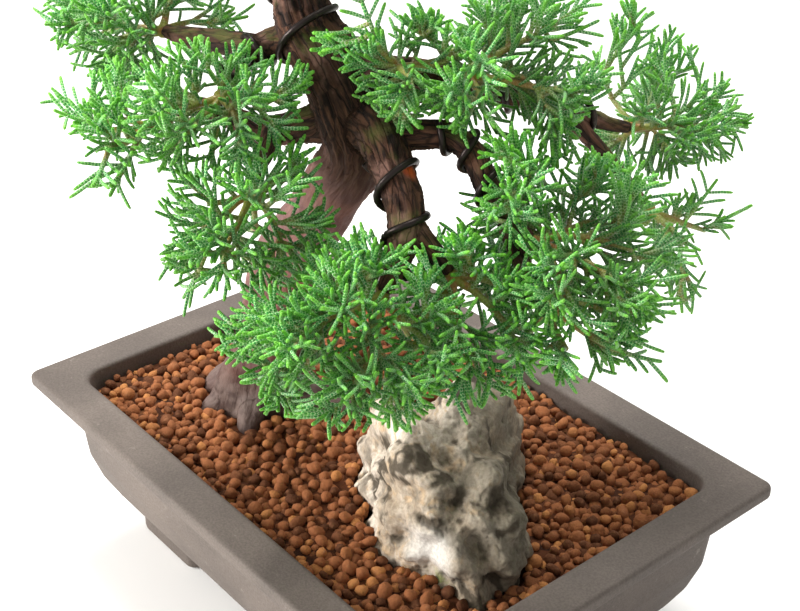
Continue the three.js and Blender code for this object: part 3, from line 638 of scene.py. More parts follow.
# Where a pad's foliage reaches further out: the middle and radius of each such lobe.
LOBES = {
    "front": [((72, -62, 213), 10), ((54, -99, 190), 10), ((70, -96, 174), 8), ((95, -69, 171), 8),
              ((76, -80, 189), 9), ((87, -61, 214), 9)],
    "front_right": [((85, -40, 211), 11), ((95, -45, 216), 9)],
    "left_low": [((42, -80, 203), 9), ((36, -61, 232), 8)],
    "left": [((4, -74, 259), 9), ((16, -76, 242), 7), ((25, -56, 255), 8)],
    "top_front": [((35, -48, 268), 6), ((56, -35, 248), 8), ((49, -22, 271), 8)],
    "right": [((82, -14, 234), 12), ((82, -23, 223), 9), ((104, 12, 228), 9), ((92, -20, 232), 10),
              ((93, -26, 225), 9)],
    "top_right": [((75, 8, 260), 10), ((90, 1, 238), 8)],
    "back_right": [((53, 97, 234), 12), ((44, 85, 247), 9)],
    "back_right_low": [((96, 66, 162), 8)],
    "far_left": [((-28, -90, 248), 8)],
}
# Where nothing more grows: the middle and radius of the airy part of a pad.
AIRY = {"back_right": [((48, 69, 225), 15)]}

occupied = {}


def cell(p):
    x, y, z = p
    return math.floor(x / CELL), math.floor(y / CELL), math.floor(z / CELL)


def claim_ball(centre, radius, name):
    reach = int(math.ceil(radius / CELL))
    home = cell(centre)
    for step in itertools.product(range(-reach, reach + 1), repeat=3):
        key = add(home, step)
        middle = mul(add(key, (0.5, 0.5, 0.5)), CELL)
        if size(sub(middle, centre)) < radius + 0.5:
            occupied.setdefault(key, name)


def claim(points, name):
    for p in points:
        occupied.setdefault(cell(p), name)


def bend(root, tip, along, curl):
    """A line from root to tip that sets off a little more aslant and comes round to run along."""
    middle = move(mix(root, tip, 0.5), along, -curl * size(sub(tip, root)))
    return root, middle, tip


def bend_points(curve, step=1.1):
    count = max(2, int(size(sub(curve[2], curve[0])) / step) + 1)
    return [on_bend(curve, i / count) for i in range(count + 1)]


def is_open(points, names):
    """Whether points lie in the box, above the soil, and in cells that are free or of these names."""
    for p in points:
        if p[2] < LOWEST or any(p[k] < BOX_LOW[k] + EDGE or p[k] > BOX_HIGH[k] - EDGE for k in range(3)):
            return False
        owner = occupied.get(cell(p))
        if owner is not None and owner not in names:
            return False
    return True


def in_balls(p, balls, share=1.0):
    return any(size(sub(p, middle)) < radius * share for middle, radius in balls)


def within(pad, p, share=CORD_ROOM):
    """Whether a point lies in the pad's egg-shaped room or in one of its lobes."""
    if in_balls(p, AIRY.get(pad.name, [])):
        return False
    level = math.hypot(p[0] - pad.centre[0], p[1] - pad.centre[1]) / pad.reach
    high = (p[2] - pad.centre[2]) / pad.rise
    return math.hypot(level, high) < share or in_balls(p, LOBES.get(pad.name, []), share)


def set_cord(pad, cord, thick, name, parents):
    """Adds a cord if the way is free, and says whether it was."""
    marks = bend_points(cord)
    if not within(pad, cord[2]) or not is_open(marks[2:], (name, *parents)):
        return False
    pad.extra.append((cord, thick))
    claim(marks, name)
    return True


def dress_stem(pad, curve, length, rng, name, parents, spacing=STEM_SPACING, bare=STEM_BARE):
    """Sets cords along both sides of a stem, leaning to its tip, with some above and below."""
    around = rng.uniform(0, 2 * math.pi)
    count = int(length * (1 - bare) / spacing)
    for i in range(count):
        t = bare + (1 - bare) * (i + rng.uniform(0.3, 0.7)) / count
        root = on_bend(curve, t)
        along = unit(sub(on_bend(curve, min(1, t + 0.05)), on_bend(curve, t - 0.05)))
        around += math.pi + rng.gauss(0, 0.38)
        place = around + (math.pi / 2 if i % 4 == 3 else 0)
        out = turned(along, rng.uniform(*LEAN) - 0.15 * t, place)
        out = unit(add(out, (0, 0, 0.12)))
        long = (LONGEST - LENGTH_LOSS * t) * rng.uniform(*LENGTH_SPREAD)
        cord = bend(root, move(root, out, long), along, -0.1)
        if set_cord(pad, cord, 1.0, name, parents):
            if long > FORK_LENGTH and rng.random() < FORK_CHANCE:
                fork_cord(pad, cord, long, out, rng, name, parents)
        else:
            shorter = bend(root, move(root, out, long * 0.66), along, -0.1)
            set_cord(pad, shorter, 1.0, name, parents)


def fork_cord(pad, cord, length, out, rng, name, parents):
    """A side cord on a cord, about as long as the rest of it."""
    t = rng.uniform(0.32, 0.55)
    root = on_bend(cord, t)
    aside = turned(out, rng.uniform(0.55, 0.8), rng.uniform(0, 2 * math.pi))
    tip = move(root, aside, length * (1 - t) * rng.uniform(0.75, 1.0))
    set_cord(pad, bend(root, tip, out, -0.08), 0.97, name, parents)


def dress_line(pad, line, rng, name, parents, spacing, bare):
    """Sets cords on a twig or stem of the rule's own."""
    curve = (line[0], on_line(line, 0.5), line[-1])
    dress_stem(pad, curve, size(sub(line[-1], line[0])), rng, name, parents, spacing, bare)


def set_stem(pad, seats, curve, length, rng, parents):
    """Adds a stem with its cords if the way is free."""
    marks = bend_points(curve)
    name = f"{pad.name}x{len(pad.extra_stems)}"
    if is_open(marks[3:], parents):
        pad.extra_stems.append(curve)
        claim(marks, name)
        dress_stem(pad, curve, length, rng, name, parents)
        seats.append((on_bend(curve, 0.1), on_bend(curve, 0.55), SIDE_STRENGTH))


def reach_lobe(pad, seats, middle, radius, rng, parents):
    """Grows stems from the nearest twigs and stems of the pad out into one of its lobes."""
    for _ in range(STEMS_A_LOBE):
        aim = move(middle, unit((rng.gauss(0, 1), rng.gauss(0, 1), rng.gauss(0, 1))), radius * 0.8)
        ranked = sorted(seats, key=lambda seat: size(sub(mix(seat[0], seat[1], 0.5), aim)))
        a, b, _ = ranked[min(int(abs(rng.gauss(0, 2.5))), len(ranked) - 1)]
        root = mix(a, b, rng.random())
        length = size(sub(aim, root))
        if 6 < length < 34:
            curve = bend(root, aim, UP, rng.uniform(0.02, 0.1))
            set_stem(pad, seats, curve, length, rng, parents)


def first_seats(pad):
    """Where finer stems may spring from at first: the pad's own twigs and the start of its stems."""
    seats = []
    for twig in pad.twigs:
        seats += [(a, b, 1.0) for a, b in zip(twig[1:], twig[2:])]
    for stem in pad.stems:
        seats += [(a, b, SIDE_STRENGTH) for a, b in zip(stem[:4], stem[1:5])]
    return seats


def fill_pad(pad, seed, stems):
    """Grows more stems from the twigs and stems of a pad until it is dense."""
    rng = random.Random(seed)
    pad.extra = []
    pad.extra_stems = []
    seats = first_seats(pad)
    parents = ("own-" + pad.name,)
    for k, stem in enumerate(pad.stems):
        dress_line(pad, stem, rng, f"{pad.name}s{k}", parents, STEM_SPACING, OWN_STEM_BARE)
    for k, twig in enumerate(pad.twigs):
        dress_line(pad, twig[1:], rng, f"{pad.name}t{k}", parents, TWIG_SPACING, TWIG_BARE)
    for middle, radius in LOBES.get(pad.name, []):
        reach_lobe(pad, seats, middle, radius, rng, parents)
    for _ in range(stems * TRIES_A_STEM):
        if len(pad.extra_stems) >= stems:
            break
        a, b, strength = rng.choice(seats)
        root = mix(a, b, rng.random())
        out = sub(root, pad.centre)
        out = unit((out[0], out[1], out[2] * pad.reach / pad.rise + 2))
        aside = turned(unit(sub(b, a)), rng.uniform(0.6, 1.25), rng.uniform(0, 2 * math.pi))
        direction = unit(move(move(aside, out, 0.9), UP, 0.15))
        length = rng.uniform(*FILL_LENGTH) * strength
        while not within(pad, move(root, direction, length), STEM_ROOM) and length > SHORTEST_FILL:
            length *= 0.85
        tip = move(root, direction, length)
        if within(pad, tip, STEM_ROOM):
            curve = bend(root, tip, UP, rng.uniform(0.03, 0.13))
            set_stem(pad, seats, curve, length, rng, parents)


def on_line(points, t):
    place = t * (len(points) - 1)
    low = min(int(place), len(points) - 2)
    return mix(points[low], points[low + 1], place - low)


def claim_taken():
    """Claims the room of the wood, the wires and the rule's own twigs, stems and cords."""
    for a, b, radius, name in room.items:
        if name.startswith(("wood", "wire")):
            count = max(1, int(size(sub(b, a)) / 1.2))
            for i in range(count + 1):
                claim_ball(mix(a, b, i / count), radius, "wood")
    for pad in pads:
        own = "own-" + pad.name
        for line in pad.twigs + pad.stems:
            for a, b in zip(line, line[1:]):
                claim([mix(a, b, i / 5) for i in range(6)], own)
        for root, tip, _ in pad.cords:
            claim([mix(root, tip, i / 7) for i in range(1, 8)], own)


claim_taken()
for i, pad in enumerate(pads):
    share = HIGH_PADS_SHARE if pad.name in HIGH_PADS else THIN_PADS.get(pad.name, 1.0)
    stems = int(STEMS_A_SQUARE * pad.reach * pad.reach * share)
    fill_pad(pad, FILL_SEED + i, stems + STEMS_A_LOBE * len(LOBES.get(pad.name, [])))


# Meshes.

# How far the chance value of a tube rolls it round its own line.
ROLL = 6.283


def in_frame(points):
    return np.asarray(points, float).reshape(-1, 3) * MM + ORIGIN


def raw_mesh(name, points, faces):
    """A mesh of points in millimetres."""
    mesh = bpy.data.meshes.new(name)
    mesh.from_pydata(in_frame(points).tolist(), [], faces)
    return mesh


def add_object(name, data):
    item = bpy.data.objects.new(name, data)
    bpy.context.scene.collection.objects.link(item)
    return item


def seat(name, mesh, material, slot, nodes=()):
    """Adds a piece of the object, riding on the one body and standing for the given nodes."""
    piece = add_object(name, mesh)
    mesh.materials.append(material)
    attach(piece, "root")
    if nodes:
        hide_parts(*nodes)


def add_piece(name, points, faces, material, slot, nodes=(), smooth_faces=True, values=None, uv=None):
    """A piece from points in millimetres, with values at its points for the material."""
    mesh = raw_mesh(name, points, faces)
    for key, numbers in (values or {}).items():
        attribute = mesh.attributes.new(key, "FLOAT", "POINT")
        attribute.data.foreach_set("value", np.asarray(numbers, np.float32).ravel())
    if uv is not None:
        layer = mesh.uv_layers.new(name="UVMap")
        layer.data.foreach_set("uv", np.asarray(uv, np.float32).ravel())
    mesh.polygons.foreach_set("use_smooth", [smooth_faces] * len(mesh.polygons))
    mesh.validate()
    mesh.update()
    seat(name, mesh, material, slot, nodes)


def normalised(a):
    return a / np.maximum(np.linalg.norm(a, axis=-1, keepdims=True), 1e-9)


def resampled(path, count):
    """The path's points spread evenly over the given count."""
    path = np.asarray(path, float)
    steps = np.concatenate([[0], np.cumsum(np.linalg.norm(np.diff(path[:, :3], axis=0), axis=1))])
    places = np.linspace(0, steps[-1], count)
    return np.stack([np.interp(places, steps, path[:, k]) for k in range(path.shape[1])], axis=1)


def side_faces(rings, count):
    """The faces between rings of points that follow each other, each ring of the same count."""
    faces = []
    for start in range(0, (rings - 1) * count, count):
        for k in range(count):
            m = (k + 1) % count
            faces.append((start + k, start + m, start + count + m, start + count + k))
    return faces


def closed_faces(rings, count):
    last = (rings - 1) * count
    return side_faces(rings, count) + [tuple(reversed(range(count))), tuple(range(last, last + count))]


def icosphere(subdivisions):
    """The points of a ball of radius 1 and its faces."""
    form = bmesh.new()
    bmesh.ops.create_icosphere(form, subdivisions=subdivisions, radius=1)
    points = np.array([v.co for v in form.verts])
    faces = [tuple(v.index for v in f.verts) for f in form.faces]
    form.free()
    return points, faces


class Bundle:
    """Many tubes gathered into one mesh, with a rounded end and values for the material."""

    def __init__(self):
        self.points, self.faces, self.uv = [], [], []
        self.values = {"along": [], "chance": [], "woody": [], "deep": []}
        self.count = 0

    def add(self, lines, radii, sides, chance, woody, deep, tip=0.8, fresh=True):
        """Adds tubes: lines is (tubes, rings, 3), radii (tubes, rings), chance and deep (tubes)."""
        lines, radii, chance, woody, deep = (
            np.asarray(one, float) for one in (lines, radii, chance, woody, deep))
        tubes, rings, _ = lines.shape
        ahead, side, over = self.frames(lines)
        turn = chance[:, None] * ROLL + 2 * np.pi * np.arange(sides)[None, :] / sides
        spoke = (np.cos(turn)[:, None, :, None] * side[:, :, None, :]
                 + np.sin(turn)[:, None, :, None] * over[:, :, None, :])
        ring = lines[:, :, None, :] + radii[:, :, None, None] * spoke
        ends = lines[:, -1] + ahead[:, -1] * radii[:, -1:] * tip
        points = np.concatenate([ring.reshape(tubes, rings * sides, 3), ends[:, None, :]], axis=1)
        self.points.append(points.reshape(-1, 3))
        self.add_faces(tubes, rings, sides)
        steps = np.linalg.norm(np.diff(lines, axis=1), axis=2)
        run = np.concatenate([np.zeros((tubes, 1)), np.cumsum(steps, axis=1)], axis=1)
        self.add_uv(run, run[:, -1:] + radii[:, -1:] * tip, sides)
        share = run / run[:, -1:] if fresh else run * 0
        for key, numbers in (("along", share), ("chance", chance[:, None]), ("woody", woody),
                             ("deep", deep[:, None])):
            numbers = np.broadcast_to(numbers, (tubes, rings))
            every = np.concatenate([np.repeat(numbers, sides, axis=1), numbers[:, -1:]], axis=1)
            self.values[key].append(every.ravel())

    def frames(self, lines):
        """The directions ahead, aside and over at each ring, without a twist."""
        ahead = normalised(np.gradient(lines, axis=1))
        mean = normalised(lines[:, -1] - lines[:, 0])
        least = np.eye(3)[np.argmin(np.abs(mean), axis=1)]
        first = normalised(np.cross(mean, least))[:, None, :]
        side = normalised(first - ahead * np.sum(first * ahead, axis=2, keepdims=True))
        return ahead, side, np.cross(ahead, side)

    def add_faces(self, tubes, rings, sides):
        k = np.arange(sides)
        last = (rings - 1) * sides
        caps = np.stack([last + k, last + (k + 1) % sides, np.full(sides, rings * sides)], axis=1)
        own = rings * sides + 1
        start = self.count + own * np.arange(tubes)[:, None, None]
        for faces in (np.array(side_faces(rings, sides)), caps):
            self.faces += (faces[None] + start).reshape(-1, faces.shape[1]).tolist()
        self.count += tubes * own

    def add_uv(self, run, end, sides):
        """Round the tube and, in millimetres, along it, for each corner of each face."""
        wide = 1 / sides
        u = np.arange(sides) / sides
        low, high, last = run[:, :-1, None], run[:, 1:, None], run[:, -1:]
        quads = np.broadcast_arrays(u, low, u + wide, low, u + wide, high, u, high)
        caps = np.broadcast_arrays(u, last, u + wide, last, u + wide / 2, end)
        self.uv += [np.stack(corners, axis=-1).reshape(-1, 2) for corners in (quads, caps)]

    def piece(self, name, material, slot, nodes):
        values = {key: np.concatenate(parts) for key, parts in self.values.items()}
        low, high = np.add(BOX_LOW, INSET), np.subtract(BOX_HIGH, INSET)
        inside = np.clip(np.concatenate(self.points), low, high)
        uv = np.concatenate(self.uv)
        add_piece(name, inside, self.faces, material, slot, nodes, values=values, uv=uv)


# Materials. Their lengths are in metres, except in the values that the meshes carry.

# The length of a scale leaf on a cord, and how many stand round it.
SCALE_LENGTH = 1.05
SCALES_ROUND = 4.0


def linear(r, g, b):
    """A colour given as it looks, 0 to 255, as the shader wants it."""
    return tuple(((v / 255 + 0.055) / 1.055) ** 2.4 if v > 10 else v / 3294.6 for v in (r, g, b)) + (1.0,)


class Shader:
    """A new material with short ways to add and join nodes. A colour is a socket or (r, g, b)."""

    def __init__(self, name, roughness, specular=0.5):
        self.material = bpy.data.materials.new(name)
        self.material.use_nodes = True
        self.tree = self.material.node_tree
        self.nodes = self.tree.nodes
        self.main = self.nodes["Principled BSDF"]
        self.main.inputs["Roughness"].default_value = roughness
        self.main.inputs["Specular IOR Level"].default_value = specular

    def join(self, a, b):
        self.tree.links.new(a, b)

    def feed(self, socket, value):
        if isinstance(value, bpy.types.NodeSocket):
            self.join(value, socket)
        else:
            socket.default_value = linear(*value) if isinstance(value, tuple) else value

    def position(self):
        return self.nodes.new("ShaderNodeTexCoord").outputs["Object"]

    def value(self, name):
        node = self.nodes.new("ShaderNodeAttribute")
        node.attribute_name = name
        return node.outputs["Fac"]

    def parts(self, vector):
        """The x, y and z of a vector."""
        node = self.nodes.new("ShaderNodeSeparateXYZ")
        self.join(vector, node.inputs[0])
        return node.outputs

    def vector(self, x, y, z):
        node = self.nodes.new("ShaderNodeCombineXYZ")
        for i, one in enumerate((x, y, z)):
            self.feed(node.inputs[i], one)
        return node.outputs[0]

    def maths(self, kind, a, b=0.0):
        node = self.nodes.new("ShaderNodeMath")
        node.operation = kind
        self.feed(node.inputs[0], a)
        self.feed(node.inputs[1], b)
        return node.outputs[0]

    def times(self, a, b):
        return self.maths("MULTIPLY", a, b)

    def plus(self, a, b):
        return self.maths("ADD", a, b)

    def noise(self, scale, vector, detail=4.0, rough=0.55, warp=0.0):
        node = self.nodes.new("ShaderNodeTexNoise")
        node.inputs["Scale"].default_value = scale
        node.inputs["Detail"].default_value = detail
        node.inputs["Roughness"].default_value = rough
        node.inputs["Distortion"].default_value = warp
        self.join(vector, node.inputs["Vector"])
        return node.outputs["Fac"]

    def cells(self, scale, vector, feature="F1", output="Distance"):
        node = self.nodes.new("ShaderNodeTexVoronoi")
        node.feature = feature
        node.inputs["Scale"].default_value = scale
        self.join(vector, node.inputs["Vector"])
        return node.outputs[output]

    def ramp(self, value, low, high, out_low=0.0, out_high=1.0):
        """A smooth change from one value to another while the input goes from low to high."""
        node = self.nodes.new("ShaderNodeMapRange")
        node.interpolation_type = "SMOOTHSTEP"
        self.feed(node.inputs["Value"], value)
        ends = {"From Min": low, "From Max": high, "To Min": out_low, "To Max": out_high}
        for key, number in ends.items():
            node.inputs[key].default_value = number
        return node.outputs["Result"]

    def blend(self, share, a, b, kind="MIX"):
        node = self.nodes.new("ShaderNodeMix")
        node.data_type = "RGBA"
        node.blend_type = kind
        for i, one in ((0, share), (6, a), (7, b)):
            self.feed(node.inputs[i], one)
        return node.outputs[2]

    def tint(self, base, value, low, high, colour, most=1.0, kind="MIX"):
        """The base, with a colour over it where the value goes from low to high."""
        return self.blend(self.ramp(value, low, high, 0.0, most), base, colour, kind)

    def bump(self, height, distance, strength=1.0, before=None):
        node = self.nodes.new("ShaderNodeBump")
        node.inputs["Strength"].default_value = strength
        node.inputs["Distance"].default_value = distance
        self.join(height, node.inputs["Height"])
        if before:
            self.join(before, node.inputs["Normal"])
        return node.outputs["Normal"]

    def done(self, colour, normal=None, roughness=None):
        self.feed(self.main.inputs["Base Color"], colour)
        if normal:
            self.join(normal, self.main.inputs["Normal"])
        if roughness:
            self.feed(self.main.inputs["Roughness"], roughness)
        return self.material


def foliage_material():
    """Cords in overlapping scales: deep green, a pale net between them, fresh at the tips, with painted
    olive shade deep inside and low in each pad.
    """
    s = Shader("foliage", 0.5, 0.55)
    round_cord, along_cord, _ = s.parts(s.nodes.new("ShaderNodeTexCoord").outputs["UV"])
    along, chance, woody, deep = (s.value(k) for k in ("along", "chance", "woody", "deep"))
    place = s.position()
    rows = s.maths("DIVIDE", along_cord, SCALE_LENGTH)
    shifted = s.plus(s.times(round_cord, SCALES_ROUND), s.times(s.maths("FLOOR", rows), 0.5))
    across, ahead = (s.maths("ABSOLUTE", s.plus(s.maths("FRACT", way), -0.5)) for way in (shifted, rows))
    scale_leaf = s.ramp(s.plus(across, ahead), 0.64, 0.44)
    green = s.tint((42, 144, 42), chance, 0.0, 1.0, (94, 190, 44))
    green = s.tint(green, s.noise(90.0, place, 3.0), 0.35, 0.7, (50, 164, 78))
    net = s.tint((220, 244, 208), along, 0.1, 0.8, (178, 238, 146))
    scaled = s.blend(s.ramp(scale_leaf, 0.0, 1.0, 0.9, 0.0), green, net)
    fresh = s.times(s.ramp(along, 0.58, 1.0), s.ramp(chance, -0.5, 0.6, 0.0, 0.85))
    tipped = s.blend(fresh, scaled, (118, 206, 26))
    # Painted shade: cords deep inside and low in a pad are darkened towards olive.
    shaded = s.blend(s.times(deep, 0.9), tipped, (112, 126, 26), "MULTIPLY")
    twig = s.tint((160, 158, 66), s.noise(260.0, place, 2.0), 0.4, 0.65, (176, 118, 62))
    colour = s.blend(woody, shaded, twig)
    height = s.plus(scale_leaf, s.times(s.noise(900.0, place), 0.2))
    s.main.inputs["Sheen Weight"].default_value = 0.06
    return s.done(colour, s.bump(height, 0.0003, 0.75), s.ramp(scale_leaf, 0.0, 1.0, 0.58, 0.34))


def bark_material():
    """Smooth reddish bark low on the trunk, and dark flaking bark with a touch of moss above."""
    s = Shader("bark", 0.8, 0.3)
    around, length, height, limb, low = (s.value(k) for k in ("around", "length", "height", "limb", "low"))
    place = s.position()
    fibre = s.vector(around, s.times(length, 0.16), limb)
    strands = s.noise(0.62, fibre, 7.0, 0.62, 0.6)
    shreds = s.noise(1.7, fibre, 5.0, 0.6, 0.8)
    plates = s.cells(0.3, s.vector(around, s.times(length, 0.22), limb), "DISTANCE_TO_EDGE")
    fine = s.noise(1400.0, place)
    broad = s.noise(34.0, place, 3.0, 0.6, 0.8)
    mauve = s.tint((104, 70, 68), broad, 0.38, 0.7, (138, 92, 78))
    mauve = s.tint(mauve, strands, 0.5, 0.7, (146, 110, 102), 0.7)
    mauve = s.tint(mauve, shreds, 0.56, 0.7, (92, 62, 56), 0.5)
    flaky = s.tint((48, 34, 30), strands, 0.36, 0.66, (118, 82, 64))
    flaky = s.tint(flaky, s.noise(70.0, place), 0.5, 0.66, (150, 114, 102))
    flaky = s.tint(flaky, s.noise(46.0, place, 3.0), 0.5, 0.64, (104, 94, 90), 0.65, "MULTIPLY")
    cleft = s.times(s.ramp(plates, 0.0, 0.07, 1.0, 0.0), s.ramp(low, 0.0, 1.0, 0.7, 0.0))
    flaky = s.blend(cleft, flaky, (70, 56, 50), "MULTIPLY")
    colour = s.blend(low, flaky, mauve)
    foot = s.times(s.ramp(height, 118.0, 80.0, 0.0, 0.85), s.ramp(broad, 0.2, 0.6, 0.5, 1.0))
    grime = s.tint((112, 100, 94), s.noise(85.0, place, 3.0), 0.44, 0.6, (56, 47, 43))
    colour = s.blend(foot, colour, grime)
    colour = s.blend(s.value("scar"), colour, (226, 98, 40))
    colour = s.blend(0.5, colour, s.blend(fine, (190, 180, 175), (255, 250, 245)), "MULTIPLY")
    upward = s.parts(s.nodes.new("ShaderNodeNewGeometry").outputs["Normal"])[2]
    mossy = s.times(s.ramp(upward, 0.15, 0.75), s.ramp(s.noise(55.0, place, 5.0), 0.5, 0.64))
    mossy = s.times(mossy, s.ramp(height, 186.0, 225.0, 0.0, 0.6))
    colour = s.blend(mossy, colour, (106, 112, 56))
    relief = s.plus(s.plus(strands, s.times(cleft, -0.6)), s.times(shreds, 0.35))
    normal = s.bump(relief, 0.0009, 0.8, s.bump(fine, 0.0003, 0.5))
    return s.done(colour, normal, s.ramp(low, 0.0, 1.0, 0.86, 0.58))


def soil_material(name, grains):
    """Baked clay granules from ochre to dark red-brown, with a dusty grain."""
    s = Shader(name, 0.9, 0.2)
    place = s.position()
    chance = s.value("chance") if grains else s.cells(190.0, place, "F1", "Color")
    fine = s.noise(1500.0, place)
    patch = s.noise(420.0, place, 3.0)
    colour = s.tint((98, 60, 38), chance, 0.0, 0.55, (164, 104, 66))
    colour = s.tint(colour, chance, 0.78, 1.0, (204, 140, 84))
    colour = s.tint(colour, patch, 0.5, 0.75, (190, 134, 98), 0.35)
    colour = s.blend(0.7, colour, s.blend(fine, (150, 138, 130), (255, 252, 248)), "MULTIPLY")
    if not grains:
        colour = s.blend(1.0, colour, (150, 140, 135), "MULTIPLY")
    return s.done(colour, s.bump(fine, 0.0004, 0.8, s.bump(patch, 0.0008, 0.7)))


def stone_material():
    """Pale craggy stone with painted shade in its crevices and on its side away from the key light, greyer
    parts, a white lump and a little moss low down.
    """
    s = Shader("stone", 0.88, 0.25)
    place = s.position()
    broad = s.noise(30.0, place, 5.0, 0.6, 0.5)
    fine = s.noise(620.0, place, 6.0, 0.65)
    speck = s.noise(150.0, place, 5.0, 0.6, 1.0)
    colour = s.tint((176, 160, 140), broad, 0.36, 0.62, (234, 223, 208))
    colour = s.tint(colour, speck, 0.5, 0.72, (204, 178, 146))
    colour = s.tint(colour, s.noise(80.0, place), 0.5, 0.66, (128, 120, 108), 0.8)
    # Painted shade on the side turned away from the key light, made patchy by the broad noise.
    side_shade = s.times(s.value("weathered"), s.ramp(broad, 0.3, 0.6, 0.5, 0.95))
    colour = s.blend(side_shade, colour, (98, 92, 76))
    # Painted shade in the crevices and hollows.
    colour = s.tint(colour, s.value("pit"), 0.18, 0.85, (70, 62, 50), 0.9)
    colour = s.blend(s.times(s.value("white"), 0.92), colour, (240, 237, 231))
    grain = s.tint((176, 168, 158), fine, 0.3, 0.7, (255, 253, 250))
    colour = s.blend(0.55, colour, grain, "MULTIPLY")
    mossy = s.times(s.value("moss"), s.ramp(speck, 0.42, 0.6))
    colour = s.blend(mossy, colour, (116, 132, 62))
    return s.done(colour, s.bump(speck, 0.0016, 0.6, s.bump(fine, 0.0006, 0.7)))


def clay_material():
    """Grey-brown unglazed stoneware, with a fine grain and a dusting of soil and lime."""
    s = Shader("clay", 0.72, 0.35)
    place = s.position()
    fine = s.noise(1100.0, place, 5.0, 0.6)
    cloud = s.noise(22.0, place, 4.0, 0.55, 0.4)
    colour = s.tint((96, 87, 81), cloud, 0.3, 0.72, (115, 105, 98))
    grain = s.tint((196, 190, 186), fine, 0.35, 0.65, (255, 254, 252))
    colour = s.blend(0.5, colour, grain, "MULTIPLY")
    colour = s.tint(colour, s.noise(160.0, place, 5.0, 0.7), 0.62, 0.76, (176, 164, 154), 0.35)
    colour = s.tint(colour, s.cells(430.0, place), 0.16, 0.06, (78, 66, 60), 0.4)
    normal = s.bump(fine, 0.00022, 0.7, s.bump(cloud, 0.0012, 0.35))
    return s.done(colour, normal, s.ramp(cloud, 0.2, 0.8, 0.62, 0.78))


def wire_material():
    """Dark anodised aluminium, rubbed paler in places."""
    s = Shader("wire", 0.42, 0.5)
    place = s.position()
    worn = s.noise(180.0, place, 5.0, 0.65)
    s.main.inputs["Metallic"].default_value = 0.75
    colour = s.tint((52, 44, 42), worn, 0.55, 0.75, (98, 82, 74))
    normal = s.bump(s.noise(1600.0, place, 3.0), 0.0001, 0.5)
    return s.done(colour, normal, s.ramp(worn, 0.4, 0.8, 0.34, 0.56))


def screen_material():
    s = Shader("screen", 0.55, 0.4)
    grain = s.noise(1300.0, s.position(), 3.0)
    return s.done(s.blend(grain, (34, 36, 38), (58, 60, 62)), s.bump(grain, 0.0001, 0.5))


def floor_material():
    s = Shader("floor", 0.85, 0.1)
    return s.done(s.blend(s.noise(3.0, s.position(), 2.0), (247, 246, 243), (252, 251, 249)))


FOLIAGE = foliage_material()
BARK = bark_material()
GRAINS = soil_material("soil_grains", True)
BED = soil_material("soil_bed", False)
STONE = stone_material()
CLAY = clay_material()
WIRE = wire_material()
SCREEN = screen_material()
FLOOR = floor_material()


# Foliage.

# The rings along a cord: their places and their share of its radius.
CORD_PLACES = np.array([0.0, 0.2, 0.55, 0.86, 1.0])
CORD_SHAPE = np.array([0.74, 0.95, 1.0, 0.95, 0.68])
CORD_SIZE = 0.61
CORD_SIDES = 5
STEM_RINGS = 8
STEM_SIDES = 6
TWIG_RINGS = 12
TWIG_SIDES = 8
# The radii of the knob between a branch and its pad, and how far past the pad's heart it goes.
KNOB_RADII = [2.1, 2.4, 2.6, 2.5, 1.9, 1.0]
KNOB_SIDES = 10
KNOB_PAST = 1.4


def add_cords(bundle, pad, rng):
    cords = [(bend(root, tip, along, -0.08), 1.06) for root, tip, along in pad.cords] + pad.extra
    curves = np.array([curve for curve, _ in cords])
    thick = np.array([scale for _, scale in cords])
    t = CORD_PLACES[None, :, None]
    lines = (1 - t) ** 2 * curves[:, 0:1] + 2 * t * (1 - t) * curves[:, 1:2] + t * t * curves[:, 2:3]
    n = len(cords)
    radii = CORD_SIZE * thick[:, None] * CORD_SHAPE[None, :] * rng.uniform(0.92, 1.08, (n, 1))
    woody = np.array([0.25, 0.0, 0.0, 0.0, 0.0])[None, :] * rng.uniform(0, 1, (n, 1))
    bundle.add(lines, radii, CORD_SIDES, rng.random(n), woody, depth(pad, lines))


def add_stems(bundle, pad, rng):
    stems = pad.stems + [bend_points(curve, 1.5) for curve in pad.extra_stems]
    lines = np.array([resampled(stem, STEM_RINGS) for stem in stems])
    n = len(stems)
    radii = np.linspace(0.9, 0.62, STEM_RINGS)[None, :] * rng.uniform(0.94, 1.06, (n, 1))
    fading = np.clip(np.linspace(0.75, -0.7, STEM_RINGS), 0, 1)[None, :]
    woody = np.clip(fading * rng.uniform(0.5, 1.1, (n, 1)), 0, 1)
    bundle.add(lines, radii, STEM_SIDES, rng.random(n), woody, depth(pad, lines))


def add_twigs(bundle, pad, rng):
    lines = np.array([resampled(twig, TWIG_RINGS) for twig in pad.twigs])
    n = len(lines)
    radii = np.concatenate([[1.9, 1.5], np.linspace(1.3, 0.85, TWIG_RINGS - 2)])[None, :].repeat(n, axis=0)
    woody = np.linspace(1.0, 0.45, TWIG_RINGS)[None, :]
    bundle.add(lines, radii, TWIG_SIDES, rng.random(n), woody, depth(pad, lines), fresh=False)


def add_knob(bundle, pad):
    start = BRANCHES[pad.name][-1][:3]
    end = move(pad.heart, unit(sub(pad.heart, start)), KNOB_PAST)
    line = resampled([start, pad.heart, end], len(KNOB_RADII))
    bundle.add([line], [KNOB_RADII], KNOB_SIDES, [0.4], 1.0, [0.6], fresh=False)


def depth(pad, lines):
    """How deep inside the pad lines lie, from 0 at its edge to 1 at its middle, with more for lines low in
    it: the strength of the painted shade on the foliage.
    """
    points = lines.mean(axis=1)
    level = np.hypot(points[:, 0] - pad.centre[0], points[:, 1] - pad.centre[1]) / pad.reach
    high = (points[:, 2] - pad.centre[2]) / pad.rise
    below = np.clip(0.5 - high, 0, 1)
    return np.clip(1.15 - np.hypot(level, high), 0, 1) * 0.6 + below * 0.4


def number_of(name):
    """A number that is always the same for a name, to seed a stream with."""
    total = 7
    for letter in name:
        total = (total * 31 + ord(letter)) % 1000003
    return total


